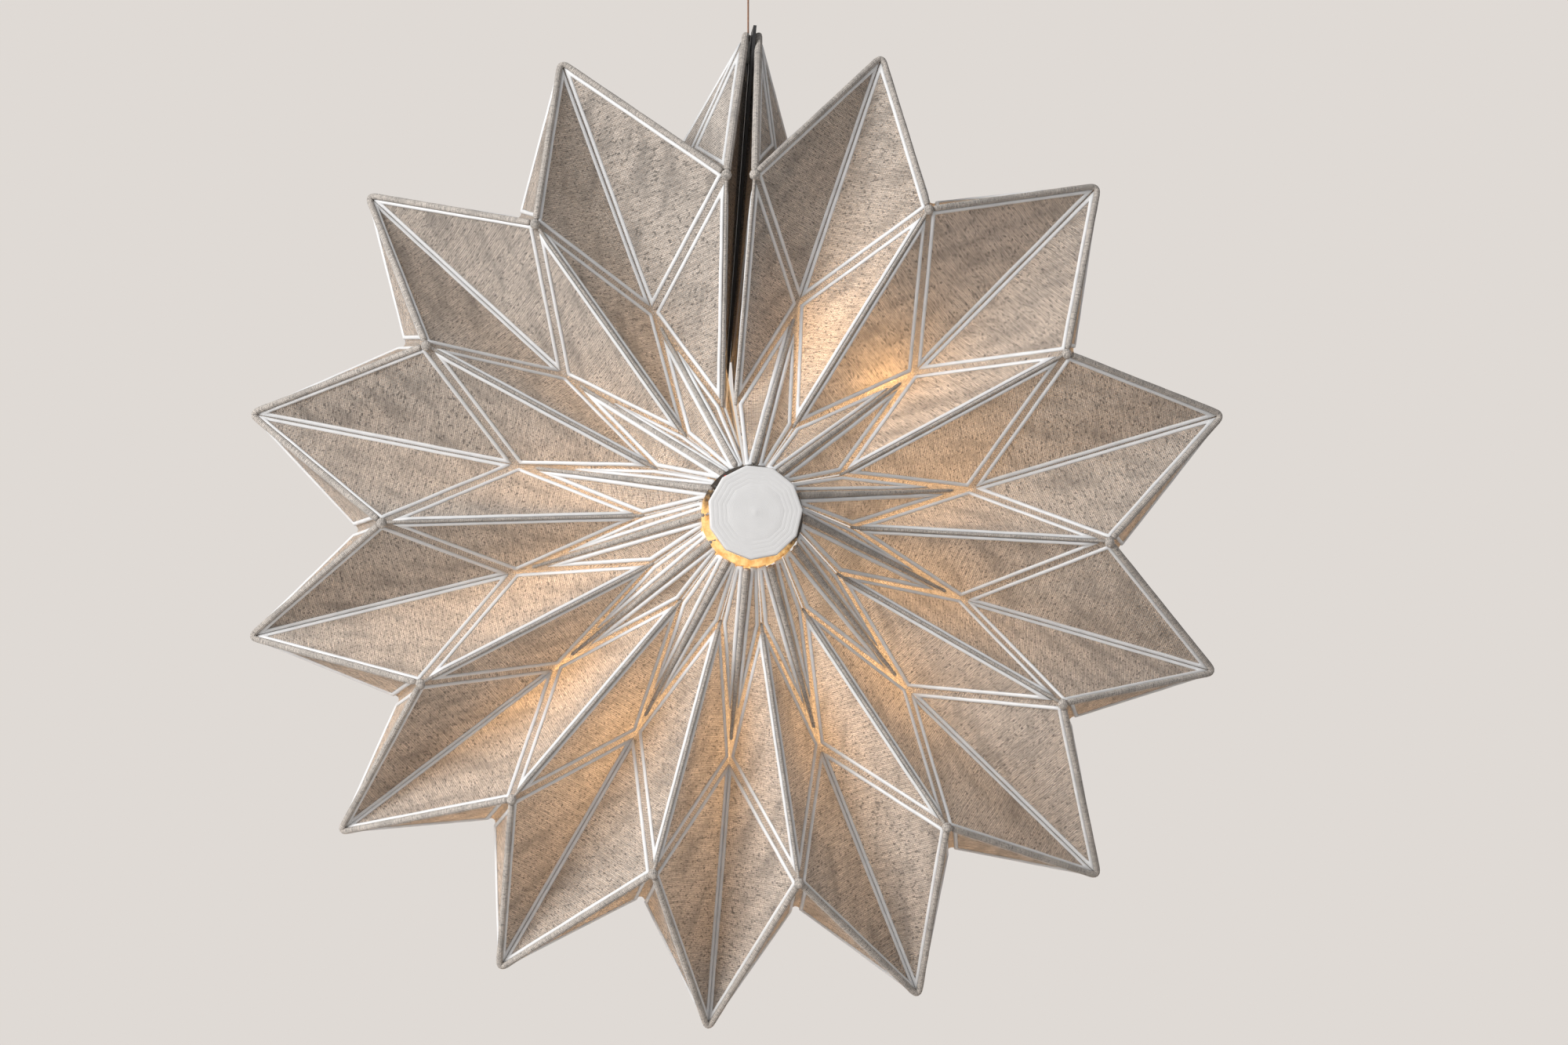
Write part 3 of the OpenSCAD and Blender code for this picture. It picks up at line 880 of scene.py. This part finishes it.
def make_ribs(material):
    for k in range(1, PETALS + 1):
        halves = [
            (petal_points(k, side), side, RIB_SEED * k + RIB_SIDE_SEED * side) for side in (-1, 1)
        ]
        make_beads(f"{k:02d}", body_of_petal(k), f"ribs_petal_{k:02d}", halves, material)
    for k, side in SEAM_SIDES.items():
        label = f"seam_{SEAM_LABELS[side]}"
        halves = [(seam_points(side), side, SEAM_RIB_SEED * side)]
        make_beads(label, body_of_petal(k), f"ribs_{label}", halves, material)


# Nodes of the materials
def new_material(name):
    material = bpy.data.materials.new(name)
    material.use_nodes = True
    tree = material.node_tree
    return material, tree, tree.nodes["Principled BSDF"]


def feed(tree, node, inputs):
    """Gives a node's inputs, by number or name, a value or another node's output."""
    for key, value in inputs.items():
        if isinstance(value, bpy.types.NodeSocket):
            tree.links.new(value, node.inputs[key])
        else:
            node.inputs[key].default_value = value


def add_node(tree, kind, inputs, **settings):
    node = tree.nodes.new(kind)
    for key, value in settings.items():
        setattr(node, key, value)
    feed(tree, node, inputs)
    return node


def math_node(tree, operation, *values):
    return add_node(tree, "ShaderNodeMath", dict(enumerate(values)), operation=operation).outputs[0]


def vector_node(tree, operation, *values):
    return add_node(tree, "ShaderNodeVectorMath", dict(enumerate(values)), operation=operation).outputs


def colour_mix(tree, share, first, second):
    """Two colours mixed, each given as a tuple or an output."""
    colours = [(*c, 1) if isinstance(c, tuple) else c for c in (first, second)]
    inputs = {0: share, 6: colours[0], 7: colours[1]}
    return add_node(tree, "ShaderNodeMix", inputs, data_type="RGBA").outputs[2]


def noise_of(tree, vector, scale, detail, roughness):
    inputs = {"Vector": vector, "Scale": scale, "Detail": detail, "Roughness": roughness}
    return add_node(tree, "ShaderNodeTexNoise", inputs).outputs["Fac"]


def range_of(tree, value, low, high, new_low, new_high):
    inputs = dict(enumerate((value, low, high, new_low, new_high)))
    return add_node(tree, "ShaderNodeMapRange", inputs, clamp=True).outputs[0]


def stretched_noise(tree, vector, stretch, scale, detail, roughness):
    longer = vector_node(tree, "MULTIPLY", vector, stretch)[0]
    return noise_of(tree, longer, scale, detail, roughness)


def turned(tree, vector, angle):
    inputs = {"Vector": vector, "Angle": math.radians(angle)}
    return add_node(tree, "ShaderNodeVectorRotate", inputs, rotation_type="Z_AXIS").outputs[0]


def bump_of(tree, height, strength, distance, shader):
    inputs = {"Height": height, "Strength": strength, "Distance": distance}
    bent = add_node(tree, "ShaderNodeBump", inputs).outputs[0]
    feed(tree, shader, {"Normal": bent})
    return bent


def attribute(tree, name, output):
    return add_node(tree, "ShaderNodeAttribute", {}, attribute_name=name).outputs[output]


def own_place(tree):
    return add_node(tree, "ShaderNodeTexCoord", {}).outputs["Object"]


def from_axis(tree):
    """Place across the lamp, measured from its axis."""
    off = vector_node(tree, "SUBTRACT", own_place(tree), LAMP)[0]
    return vector_node(tree, "MULTIPLY", off, (1, 0, 1))[0]


# Flecked knit: stitches in millimetres, then stretch, scale, detail and roughness of each noise
STITCH_WIDE = 0.55
STITCH_HIGH = 0.6
STITCH_SLANT = 0.9
FIBRE_NOISE = ((1.0, 3.2, 1), 1.1, 3.0, 0.7)
SLUB_NOISE = ((0.16, 1.5, 1), 1.0, 3.0, 0.7)
FLECK_NOISE = ((0.9, 1.7, 1), 1.0, 1.0, 0.5)
# The streak noise lays broad painted shade, standing for the shade of soft wrinkles in the cloth
WRINKLE_SHADE_NOISE = ((0.2, 0.055, 1), 1.0, 2.0, 0.5)
WRINKLE_SHADE_TURN = 30

# Range of each pattern, then what it gives at the range's ends
FIBRE_SHARE = (0.35, 0.68, 0, 1)
SLUB_SHARE = (0.42, 0.66, 0, 0.65)
GAP_SHARE = (0.1, 0.56, 0.92, 0)
FLECK_SHARE = (0.56, 0.7, 0, 0.75)
WRINKLE_SHADE_SHARE = (0.46, 0.7, 0, 0.5)
KNIT_ROUGH = (0.2, 0.8, 0.98, 0.82)
GLOW_SHARE = (0.05, 0.4, 0.4, 0)
FIBRE_DARK = (0.56, 0.494, 0.436)
FIBRE_PALE = (0.98, 0.886, 0.795)
SLUB_COLOUR = (0.3, 0.275, 0.25)
GAP_COLOUR = (0.13, 0.115, 0.1)
FLECK_COLOUR = (0.08, 0.078, 0.075)
PAINTED_WRINKLE_SHADE = (0.2, 0.185, 0.17)
# Grey mixed in along the folds: partly wear of the cloth, partly painted shade
WEAR_AND_SHADE_COLOUR = (0.27, 0.265, 0.255)
WEAR_AND_SHADE_SHARE = 0.4
GLOW_COLOUR = (0.9, 0.72, 0.5)
THROUGH_SHARE = 0.3
THIN_GAIN = 0.22
KNIT_FINISH = {"Specular IOR Level": 0.2, "Sheen Weight": 0.15, "Sheen Roughness": 0.6}
KNIT_BUMP = (0.6, 0.00025)
FIBRE_HEIGHT = 0.6


def stitches(tree, pattern):
    """Slanted loops in rows and columns, 0 between them."""
    axes = add_node(tree, "ShaderNodeSeparateXYZ", {0: pattern}).outputs
    across = math_node(tree, "DIVIDE", axes[0], STITCH_WIDE)
    column = math_node(tree, "PINGPONG", across, 0.5)
    row = math_node(tree, "DIVIDE", axes[1], STITCH_HIGH)
    slant = math_node(tree, "ADD", row, math_node(tree, "MULTIPLY", column, STITCH_SLANT))
    loop = math_node(tree, "PINGPONG", slant, 0.5)
    return math_node(tree, "ADD", loop, column)


def cloth_material():
    """Rows of small stitches, dark and pale fibres, broad streaks of painted wrinkle shade, greyer on the
    folds from wear and painted shade, letting light through.
    """
    material, tree, shader = new_material("flecked_knit")
    pattern = attribute(tree, PATTERN, "Vector")
    stitch = stitches(tree, pattern)
    fibre = stretched_noise(tree, pattern, *FIBRE_NOISE)
    slub = stretched_noise(tree, pattern, *SLUB_NOISE)
    fleck = stretched_noise(tree, pattern, *FLECK_NOISE)
    streak = stretched_noise(tree, turned(tree, pattern, WRINKLE_SHADE_TURN), *WRINKLE_SHADE_NOISE)
    base = colour_mix(tree, range_of(tree, fibre, *FIBRE_SHARE), FIBRE_DARK, FIBRE_PALE)
    base = colour_mix(tree, range_of(tree, slub, *SLUB_SHARE), base, SLUB_COLOUR)
    base = colour_mix(tree, range_of(tree, stitch, *GAP_SHARE), base, GAP_COLOUR)
    base = colour_mix(tree, range_of(tree, fleck, *FLECK_SHARE), base, FLECK_COLOUR)
    # Painted shade of soft wrinkles, in broad slanted streaks
    base = colour_mix(tree, range_of(tree, streak, *WRINKLE_SHADE_SHARE), base, PAINTED_WRINKLE_SHADE)
    # Greyer at the folds, partly from wear and partly painted shade in the valleys and between the pleats
    wear_and_shade = math_node(tree, "MULTIPLY", attribute(tree, WEAR_AND_SHADE, "Fac"), WEAR_AND_SHADE_SHARE)
    base = colour_mix(tree, wear_and_shade, base, WEAR_AND_SHADE_COLOUR)
    feed(tree, shader, KNIT_FINISH)
    feed(tree, shader, {"Base Color": base, "Roughness": range_of(tree, fibre, *KNIT_ROUGH)})
    height = math_node(tree, "ADD", stitch, math_node(tree, "MULTIPLY", fibre, FIBRE_HEIGHT))
    bent = bump_of(tree, height, *KNIT_BUMP, shader)
    glow = colour_mix(tree, range_of(tree, stitch, *GLOW_SHARE), base, GLOW_COLOUR)
    through = add_node(tree, "ShaderNodeBsdfTranslucent", {"Color": glow, "Normal": bent})
    thin = math_node(tree, "MULTIPLY", attribute(tree, THIN, "Fac"), THIN_GAIN)
    share = math_node(tree, "ADD", thin, THROUGH_SHARE)
    inputs = {0: share, 1: shader.outputs[0], 2: through.outputs[0]}
    mix = add_node(tree, "ShaderNodeMixShader", inputs)
    feed(tree, tree.nodes["Material Output"], {"Surface": mix.outputs[0]})
    return material


# Printed and plain materials, with detail and roughness of noises, strength and depth of bumps
STAIN_GRAIN = (3.0, 0.6)
FINE_GRAIN = (2.0, 0.5)
FINE_BUMP = 0.0001
RIB_PALE = (0.72, 0.725, 0.73)
RIB_DARK = (0.64, 0.645, 0.65)
RIB_STAIN = 180
RIB_STAIN_SHARE = (0.35, 0.7, 0, 1)
RIB_ROUGH = (0.3, 0.7, 0.38, 0.55)
RIB_GRAIN = 1400
RIB_BUMP = 0.25
PLAIN_LOW = 0.3
PLAIN_HIGH = 0.7
PLAIN_ROUGH_REACH = 0.08
PLAIN_BUMP = 0.15
PLAIN_FINER = 6
CAP_FINISH = ("white_cap", (0.63, 0.63, 0.63), (0.66, 0.66, 0.66), 0.5, 200)
CAP_LAYER = 0.5
CAP_BUMP = (0.12, 0.00006)
COLLAR_DARK = (0.55, 0.3, 0.1)
COLLAR_PALE = (0.75, 0.5, 0.24)
# The collar's painted light: near-black painted shade where it is hidden, painted glow towards the lower
# left
COLLAR_PAINTED_SHADE = (0.05, 0.042, 0.035)
COLLAR_ROUGH = 0.5
COLLAR_GLOW_DARK = (0.62, 0.26, 0.05)
COLLAR_GLOW_PALE = (0.95, 0.6, 0.22)
COLLAR_PAINTED_GLOW = 0.62
COLLAR_LOW = (-35, 0, -65)
COLLAR_CRINKLE = 420
COLLAR_PATCHY = 0.9
COLLAR_PAINTED_LIGHT_SHARE = (0.4, 0.95, 0, 1)
COLLAR_CRINKLE_SHARE = (0.35, 0.65, 0, 1)
COLLAR_BUMP = (0.4, 0.0004)
CHIP_FINISH = ("lit_chips", (0.9, 0.8, 0.5), (1.0, 0.9, 0.7), 0.5, 500)
CHIP_GLOW = (1.0, 0.72, 0.36)
CHIP_STRENGTH = 4


def rib_material():
    """White printed plastic, a little stained."""
    material, tree, shader = new_material("white_print")
    spot = own_place(tree)
    stain = noise_of(tree, spot, RIB_STAIN, *STAIN_GRAIN)
    colour = colour_mix(tree, range_of(tree, stain, *RIB_STAIN_SHARE), RIB_PALE, RIB_DARK)
    feed(tree, shader, {"Base Color": colour, "Roughness": range_of(tree, stain, *RIB_ROUGH)})
    bump_of(tree, noise_of(tree, spot, RIB_GRAIN, *FINE_GRAIN), RIB_BUMP, FINE_BUMP, shader)
    return material


def mottled_material(name, dark, pale, rough, grain):
    """A smooth material mottled between two colours."""
    material, tree, shader = new_material(name)
    mottle = noise_of(tree, own_place(tree), grain, *STAIN_GRAIN)
    colour = colour_mix(tree, range_of(tree, mottle, PLAIN_LOW, PLAIN_HIGH, 0, 1), dark, pale)
    ends = (rough - PLAIN_ROUGH_REACH, rough + PLAIN_ROUGH_REACH)
    roughness = range_of(tree, mottle, PLAIN_LOW, PLAIN_HIGH, *ends)
    feed(tree, shader, {"Base Color": colour, "Roughness": roughness})
    return material, tree, shader


def plain_material(name, dark, pale, rough, grain, bump=PLAIN_BUMP, metal=0.0):
    """A mottled material with a fine grain to its surface."""
    material, tree, shader = mottled_material(name, dark, pale, rough, grain)
    feed(tree, shader, {"Metallic": metal})
    fine = noise_of(tree, own_place(tree), grain * PLAIN_FINER, *FINE_GRAIN)
    bump_of(tree, fine, bump, FINE_BUMP, shader)
    return material


def chip_material():
    """Pale chips that give warm light."""
    material = plain_material(*CHIP_FINISH)
    tree = material.node_tree
    lit = {"Emission Color": (*CHIP_GLOW, 1), "Emission Strength": CHIP_STRENGTH}
    feed(tree, tree.nodes["Principled BSDF"], lit)
    return material


def collar_material():
    """Printed ring with painted light: emission and a near-black painted shade, set by place, standing for
    the chips' light shining through it from below, and crinkled.
    """
    material, tree, shader = new_material("painted_glow_collar")
    # Painted glow and painted shade, set by place, brighter towards the lower left
    lowness = vector_node(tree, "DOT_PRODUCT", from_axis(tree), COLLAR_LOW)["Value"]
    crinkle = noise_of(tree, own_place(tree), COLLAR_CRINKLE, *STAIN_GRAIN)
    patchy = math_node(tree, "ADD", lowness, math_node(tree, "MULTIPLY", crinkle, COLLAR_PATCHY))
    lit = range_of(tree, patchy, *COLLAR_PAINTED_LIGHT_SHARE)
    share = range_of(tree, crinkle, *COLLAR_CRINKLE_SHARE)
    colour = colour_mix(tree, share, COLLAR_DARK, COLLAR_PALE)
    feed(tree, shader, {
        "Base Color": colour_mix(tree, lit, COLLAR_PAINTED_SHADE, colour),
        "Roughness": COLLAR_ROUGH,
        "Emission Color": colour_mix(tree, share, COLLAR_GLOW_DARK, COLLAR_GLOW_PALE),
        "Emission Strength": math_node(tree, "MULTIPLY", lit, COLLAR_PAINTED_GLOW),
    })
    bump_of(tree, crinkle, *COLLAR_BUMP, shader)
    return material


def cap_material():
    """White print with the fine round lines of its layers."""
    material, tree, shader = mottled_material(*CAP_FINISH)
    reach = vector_node(tree, "LENGTH", from_axis(tree))["Value"]
    turn = math_node(tree, "MULTIPLY", reach, 2 * math.pi / (CAP_LAYER * MM))
    bump_of(tree, math_node(tree, "SINE", turn), *CAP_BUMP, shader)
    return material


# CAD nodes that keep their shape: name, dark and pale colour, roughness, grain, then bump and metal
PLAIN_NODES = {
    "hub_post": ("hub_print", (0.6, 0.58, 0.54), (0.7, 0.68, 0.64), 0.55, 150),
    "led_strip": ("strip_board", (0.75, 0.6, 0.3), (0.85, 0.75, 0.5), 0.5, 300),
    "lead_red": ("red_lead", (0.5, 0.02, 0.015), (0.65, 0.03, 0.02), 0.4, 400),
    "lead_black": ("black_lead", (0.012, 0.012, 0.012), (0.03, 0.03, 0.03), 0.4, 400),
    "lead_connector": ("connector_nylon", (0.7, 0.7, 0.67), (0.8, 0.8, 0.77), 0.5, 300),
    "cord_gland": ("gland_rubber", (0.03, 0.03, 0.03), (0.06, 0.06, 0.06), 0.6, 300),
    "seam_spine": ("black_spine", (0.008, 0.008, 0.009), (0.02, 0.02, 0.022), 0.45, 300),
    "hanging_eyelet": ("eyelet_steel", (0.5, 0.5, 0.5), (0.65, 0.65, 0.65), 0.3, 500, 0.1, 1.0),
}
WIRE_FINISH = ("brown_wire", (0.16, 0.07, 0.035), (0.26, 0.12, 0.06), 0.4, 900)
TAB_FINISH = ("clip_tab", (0.45, 0.45, 0.44), (0.6, 0.6, 0.58), 0.35, 300)
FLOOR_FINISH = ("pale_floor", (0.73, 0.69, 0.655), (0.75, 0.71, 0.675), 0.8, 3)


def dress(node, material):
    """A CAD node keeps its shape and takes a material."""
    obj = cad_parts[node]
    obj.data.materials.clear()
    obj.data.materials.append(material)


def dress_nodes():
    for node, finish in PLAIN_NODES.items():
        dress(node, plain_material(*finish))
    dress("pleat_collar", collar_material())
    dress("led_chips", chip_material())


# Cap
CAP_STEPS = 8
CAP_PEAK = 0.25
CAP_LINES = (13.3, 11.9, 10.4, 9.2)
CAP_LINE_WIDE = 0.12
CAP_LINE_DEEP = 0.022
CAP_BEVEL = 0.5
CAP_SHOULDER = 0.15
CAP_SHOULDER_DROP = 0.2
CAP_FACE_DROP = 0.1
PLUG_CHAMFER = 0.4

# Radius, rise and roundness of the rings in the middle of the cap's face
CAP_MIDDLE = ((7, 0, 0.5), (4.5, 0, 1), (2, 0, 1), (0.8, 0.05, 1), (0.4, 0.1, 1))


def cap_profile():
    """Radius, height and roundness of each ring, from the plug's end over the edge to the middle."""
    face = CAP_THICK - CAP_FACE_DROP
    rings = [
        (PLUG_RADIUS - PLUG_CHAMFER, -PLUG_LENGTH, 1),
        (PLUG_RADIUS, PLUG_CHAMFER - PLUG_LENGTH, 1),
        (PLUG_RADIUS, 0, 1),
        (CAP_RADIUS - CAP_BEVEL, 0, 0),
        (CAP_RADIUS, CAP_BEVEL, 0),
        (CAP_RADIUS, CAP_THICK - CAP_BEVEL, 0),
        (CAP_RADIUS - CAP_SHOULDER, CAP_THICK - CAP_SHOULDER_DROP, 0),
        (CAP_RADIUS - CAP_BEVEL, face, 0),
    ]
    for radius in CAP_LINES:
        rings.append((radius + CAP_LINE_WIDE, face, 0))
        rings.append((radius, face - CAP_LINE_DEEP, 0))
        rings.append((radius - CAP_LINE_WIDE, face, 0))
    rings += [(radius, face + rise, roundness) for radius, rise, roundness in CAP_MIDDLE]
    return rings


def make_cap(material):
    bm = bmesh.new()
    side = 2 * math.pi / CAP_SIDES
    count = CAP_SIDES * CAP_STEPS
    loops = []
    for radius, height, roundness in cap_profile():
        loop = []
        for i in range(count):
            turn = i * 2 * math.pi / count
            edge = math.cos(side / 2) / math.cos(turn % side - side / 2)
            reach = radius * (edge + (1 - edge) * roundness)
            peak = CAP_PEAK * (1 - reach / CAP_RADIUS / edge) if height > 0 else 0
            angle = 90 - CAP_TURN - math.degrees(turn)
            loop.append(bm.verts.new(at(reach, angle, HUB_FRONT + height + peak)))
        loops.append(loop)
    for before, after in zip(loops, loops[1:]):
        for i in range(count):
            j = (i + 1) % count
            bm.faces.new((before[i], before[j], after[j], after[i]))
    bm.faces.new(loops[0])
    bm.faces.new(loops[-1])
    bmesh.ops.recalc_face_normals(bm, faces=bm.faces)
    stand_for(piece("cap_disc", bm, material), "cap", "cap", "end_cap")


# Hanging wire
WIRE_POINTS = 20
WIRE_ROUNDNESS = 3
wire_low, wire_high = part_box("hanging_wire")


def make_wire(material):
    curve = bpy.data.curves.new("wire_line", "CURVE")
    curve.dimensions = "3D"
    curve.bevel_depth = WIRE_DIAMETER / 2 * MM
    curve.bevel_resolution = WIRE_ROUNDNESS
    curve.use_fill_caps = True
    line = curve.splines.new("POLY")
    line.points.add(WIRE_POINTS - 1)
    length = wire_high.z - wire_low.z
    for i, point in enumerate(line.points):
        share = i / (WIRE_POINTS - 1)
        point.co = (0, 0, wire_low.z + length * share, 1)
    curve.materials.append(material)
    obj = link_object("wire_line", curve)
    stand_for(obj, "hub", "wire", "hanging_wire")


# Folded tab with a thin tail that the wire ends in: width, depth, low and high end of each
TAB_BOXES = ((1.45, 4, 154.6, 161.5), (0.6, 1.2, 148, 154.8))
TAB_LEFT = 2.9
TAB_DEPTH = 46
TAB_BEVEL = 0.2


def make_tab(material):
    bm = bmesh.new()
    for wide, deep, low, high in TAB_BOXES:
        made = bmesh.ops.create_cube(bm, size=1)["verts"]
        bmesh.ops.scale(bm, verts=made, vec=(wide, deep, high - low))
        middle = (TAB_LEFT + wide / 2, TAB_DEPTH, (low + high) / 2)
        bmesh.ops.translate(bm, verts=made, vec=middle)
    bmesh.ops.bevel(bm, geom=bm.edges[:], offset=TAB_BEVEL, segments=2, affect="EDGES")
    stand_for(piece("folded_tab", bm, material), "hub", "clip", "wire_clip")


# Camera, light and floor
CAMERA_REACH = 1.4
CAMERA_WAY = Vector((-0.0869, -0.992, -0.0935))
CAMERA_AIM = Vector((11.2, 0, -0.9))
CAMERA_LENS = 102.2
SENSOR_WIDTH = 36

# Place from the lamp in metres, power, colour and size of each light outside
OUTER_LIGHTS = {
    "day": ((-1.34, -0.95, 0.55), 37, (1.0, 0.99, 0.98), 1.0),
    "fill": ((0.9, -1.2, 0.8), 2.8, (1.0, 0.97, 0.94), 1.4),
}

# Angle, radius, depth and power of each light inside
INNER_LIGHTS = (
    (36, 63, 25, 0.053), (55, 74, 42, 0.055), (95, 50, 48, 0.075), (142, 60, 48, 0.115),
    (186, 70, 48, 0.055), (225, 78, 50, 0.16), (275, 50, 48, 0.05), (325, 45, 48, 0.03),
)
WARM = (1.0, 0.56, 0.2)
GLOW_SIZE = 0.011
BACKDROP = (0.74, 0.70, 0.665)
AIR = (0.84, 0.84, 0.86)
AIR_STRENGTH = 0.32
FLOOR_DROP = 0.27
FLOOR_RADIUS = 1
FLOOR_SIDES = 64


def aim(obj, target):
    look = target - obj.location
    obj.rotation_euler = look.to_track_quat("-Z", "Y").to_euler()


def make_camera():
    data = bpy.data.cameras.new("camera")
    data.lens = CAMERA_LENS
    data.sensor_width = SENSOR_WIDTH
    camera = link_object("camera", data)
    camera.location = LAMP + CAMERA_WAY * CAMERA_REACH
    aim(camera, place(CAMERA_AIM))
    bpy.context.scene.camera = camera


def add_light(name, kind, spot, energy, colour):
    data = bpy.data.lights.new(name, kind)
    data.energy = energy
    data.color = colour
    light = link_object(name, data)
    light.location = spot
    aim(light, LAMP)
    return data


def make_lights():
    for name, (spot, energy, colour, size) in OUTER_LIGHTS.items():
        add_light(name, "AREA", LAMP + Vector(spot), energy, colour).size = size
    for angle, radius, depth, energy in INNER_LIGHTS:
        spot = place(at(radius, angle, -depth))
        add_light(f"glow_{angle}", "POINT", spot, energy, WARM).shadow_soft_size = GLOW_SIZE


def make_world():
    """Soft light from all round, and a pale backdrop for the camera and for reflections."""
    world = bpy.data.worlds.new("air")
    bpy.context.scene.world = world
    world.use_nodes = True
    tree = world.node_tree
    ground = tree.nodes["Background"]
    feed(tree, ground, {"Color": (*AIR, 1), "Strength": AIR_STRENGTH})
    seen = add_node(tree, "ShaderNodeBackground", {"Color": (*BACKDROP, 1)})
    rays = add_node(tree, "ShaderNodeLightPath", {}).outputs
    either = math_node(tree, "MAXIMUM", rays["Is Camera Ray"], rays["Is Glossy Ray"])
    any_of = math_node(tree, "MAXIMUM", either, rays["Is Transmission Ray"])
    inputs = {0: any_of, 1: ground.outputs[0], 2: seen.outputs[0]}
    mix = add_node(tree, "ShaderNodeMixShader", inputs)
    feed(tree, tree.nodes["World Output"], {"Surface": mix.outputs[0]})


def make_floor():
    bm = bmesh.new()
    bmesh.ops.create_circle(bm, cap_ends=True, radius=FLOOR_RADIUS, segments=FLOOR_SIDES)
    mesh = bpy.data.meshes.new("floor")
    bm.to_mesh(mesh)
    bm.free()
    mesh.materials.append(plain_material(*FLOOR_FINISH))
    floor = link_object("floor", mesh)
    floor.location = LAMP - Vector((0, 0, FLOOR_DROP))


bpy.context.scene.view_settings.view_transform = "Standard"
make_camera()
make_lights()
make_world()
make_floor()
make_wire(plain_material(*WIRE_FINISH))
make_cloth(cloth_material())
make_ribs(rib_material())
make_cap(cap_material())
make_tab(plain_material(*TAB_FINISH))
dress_nodes()
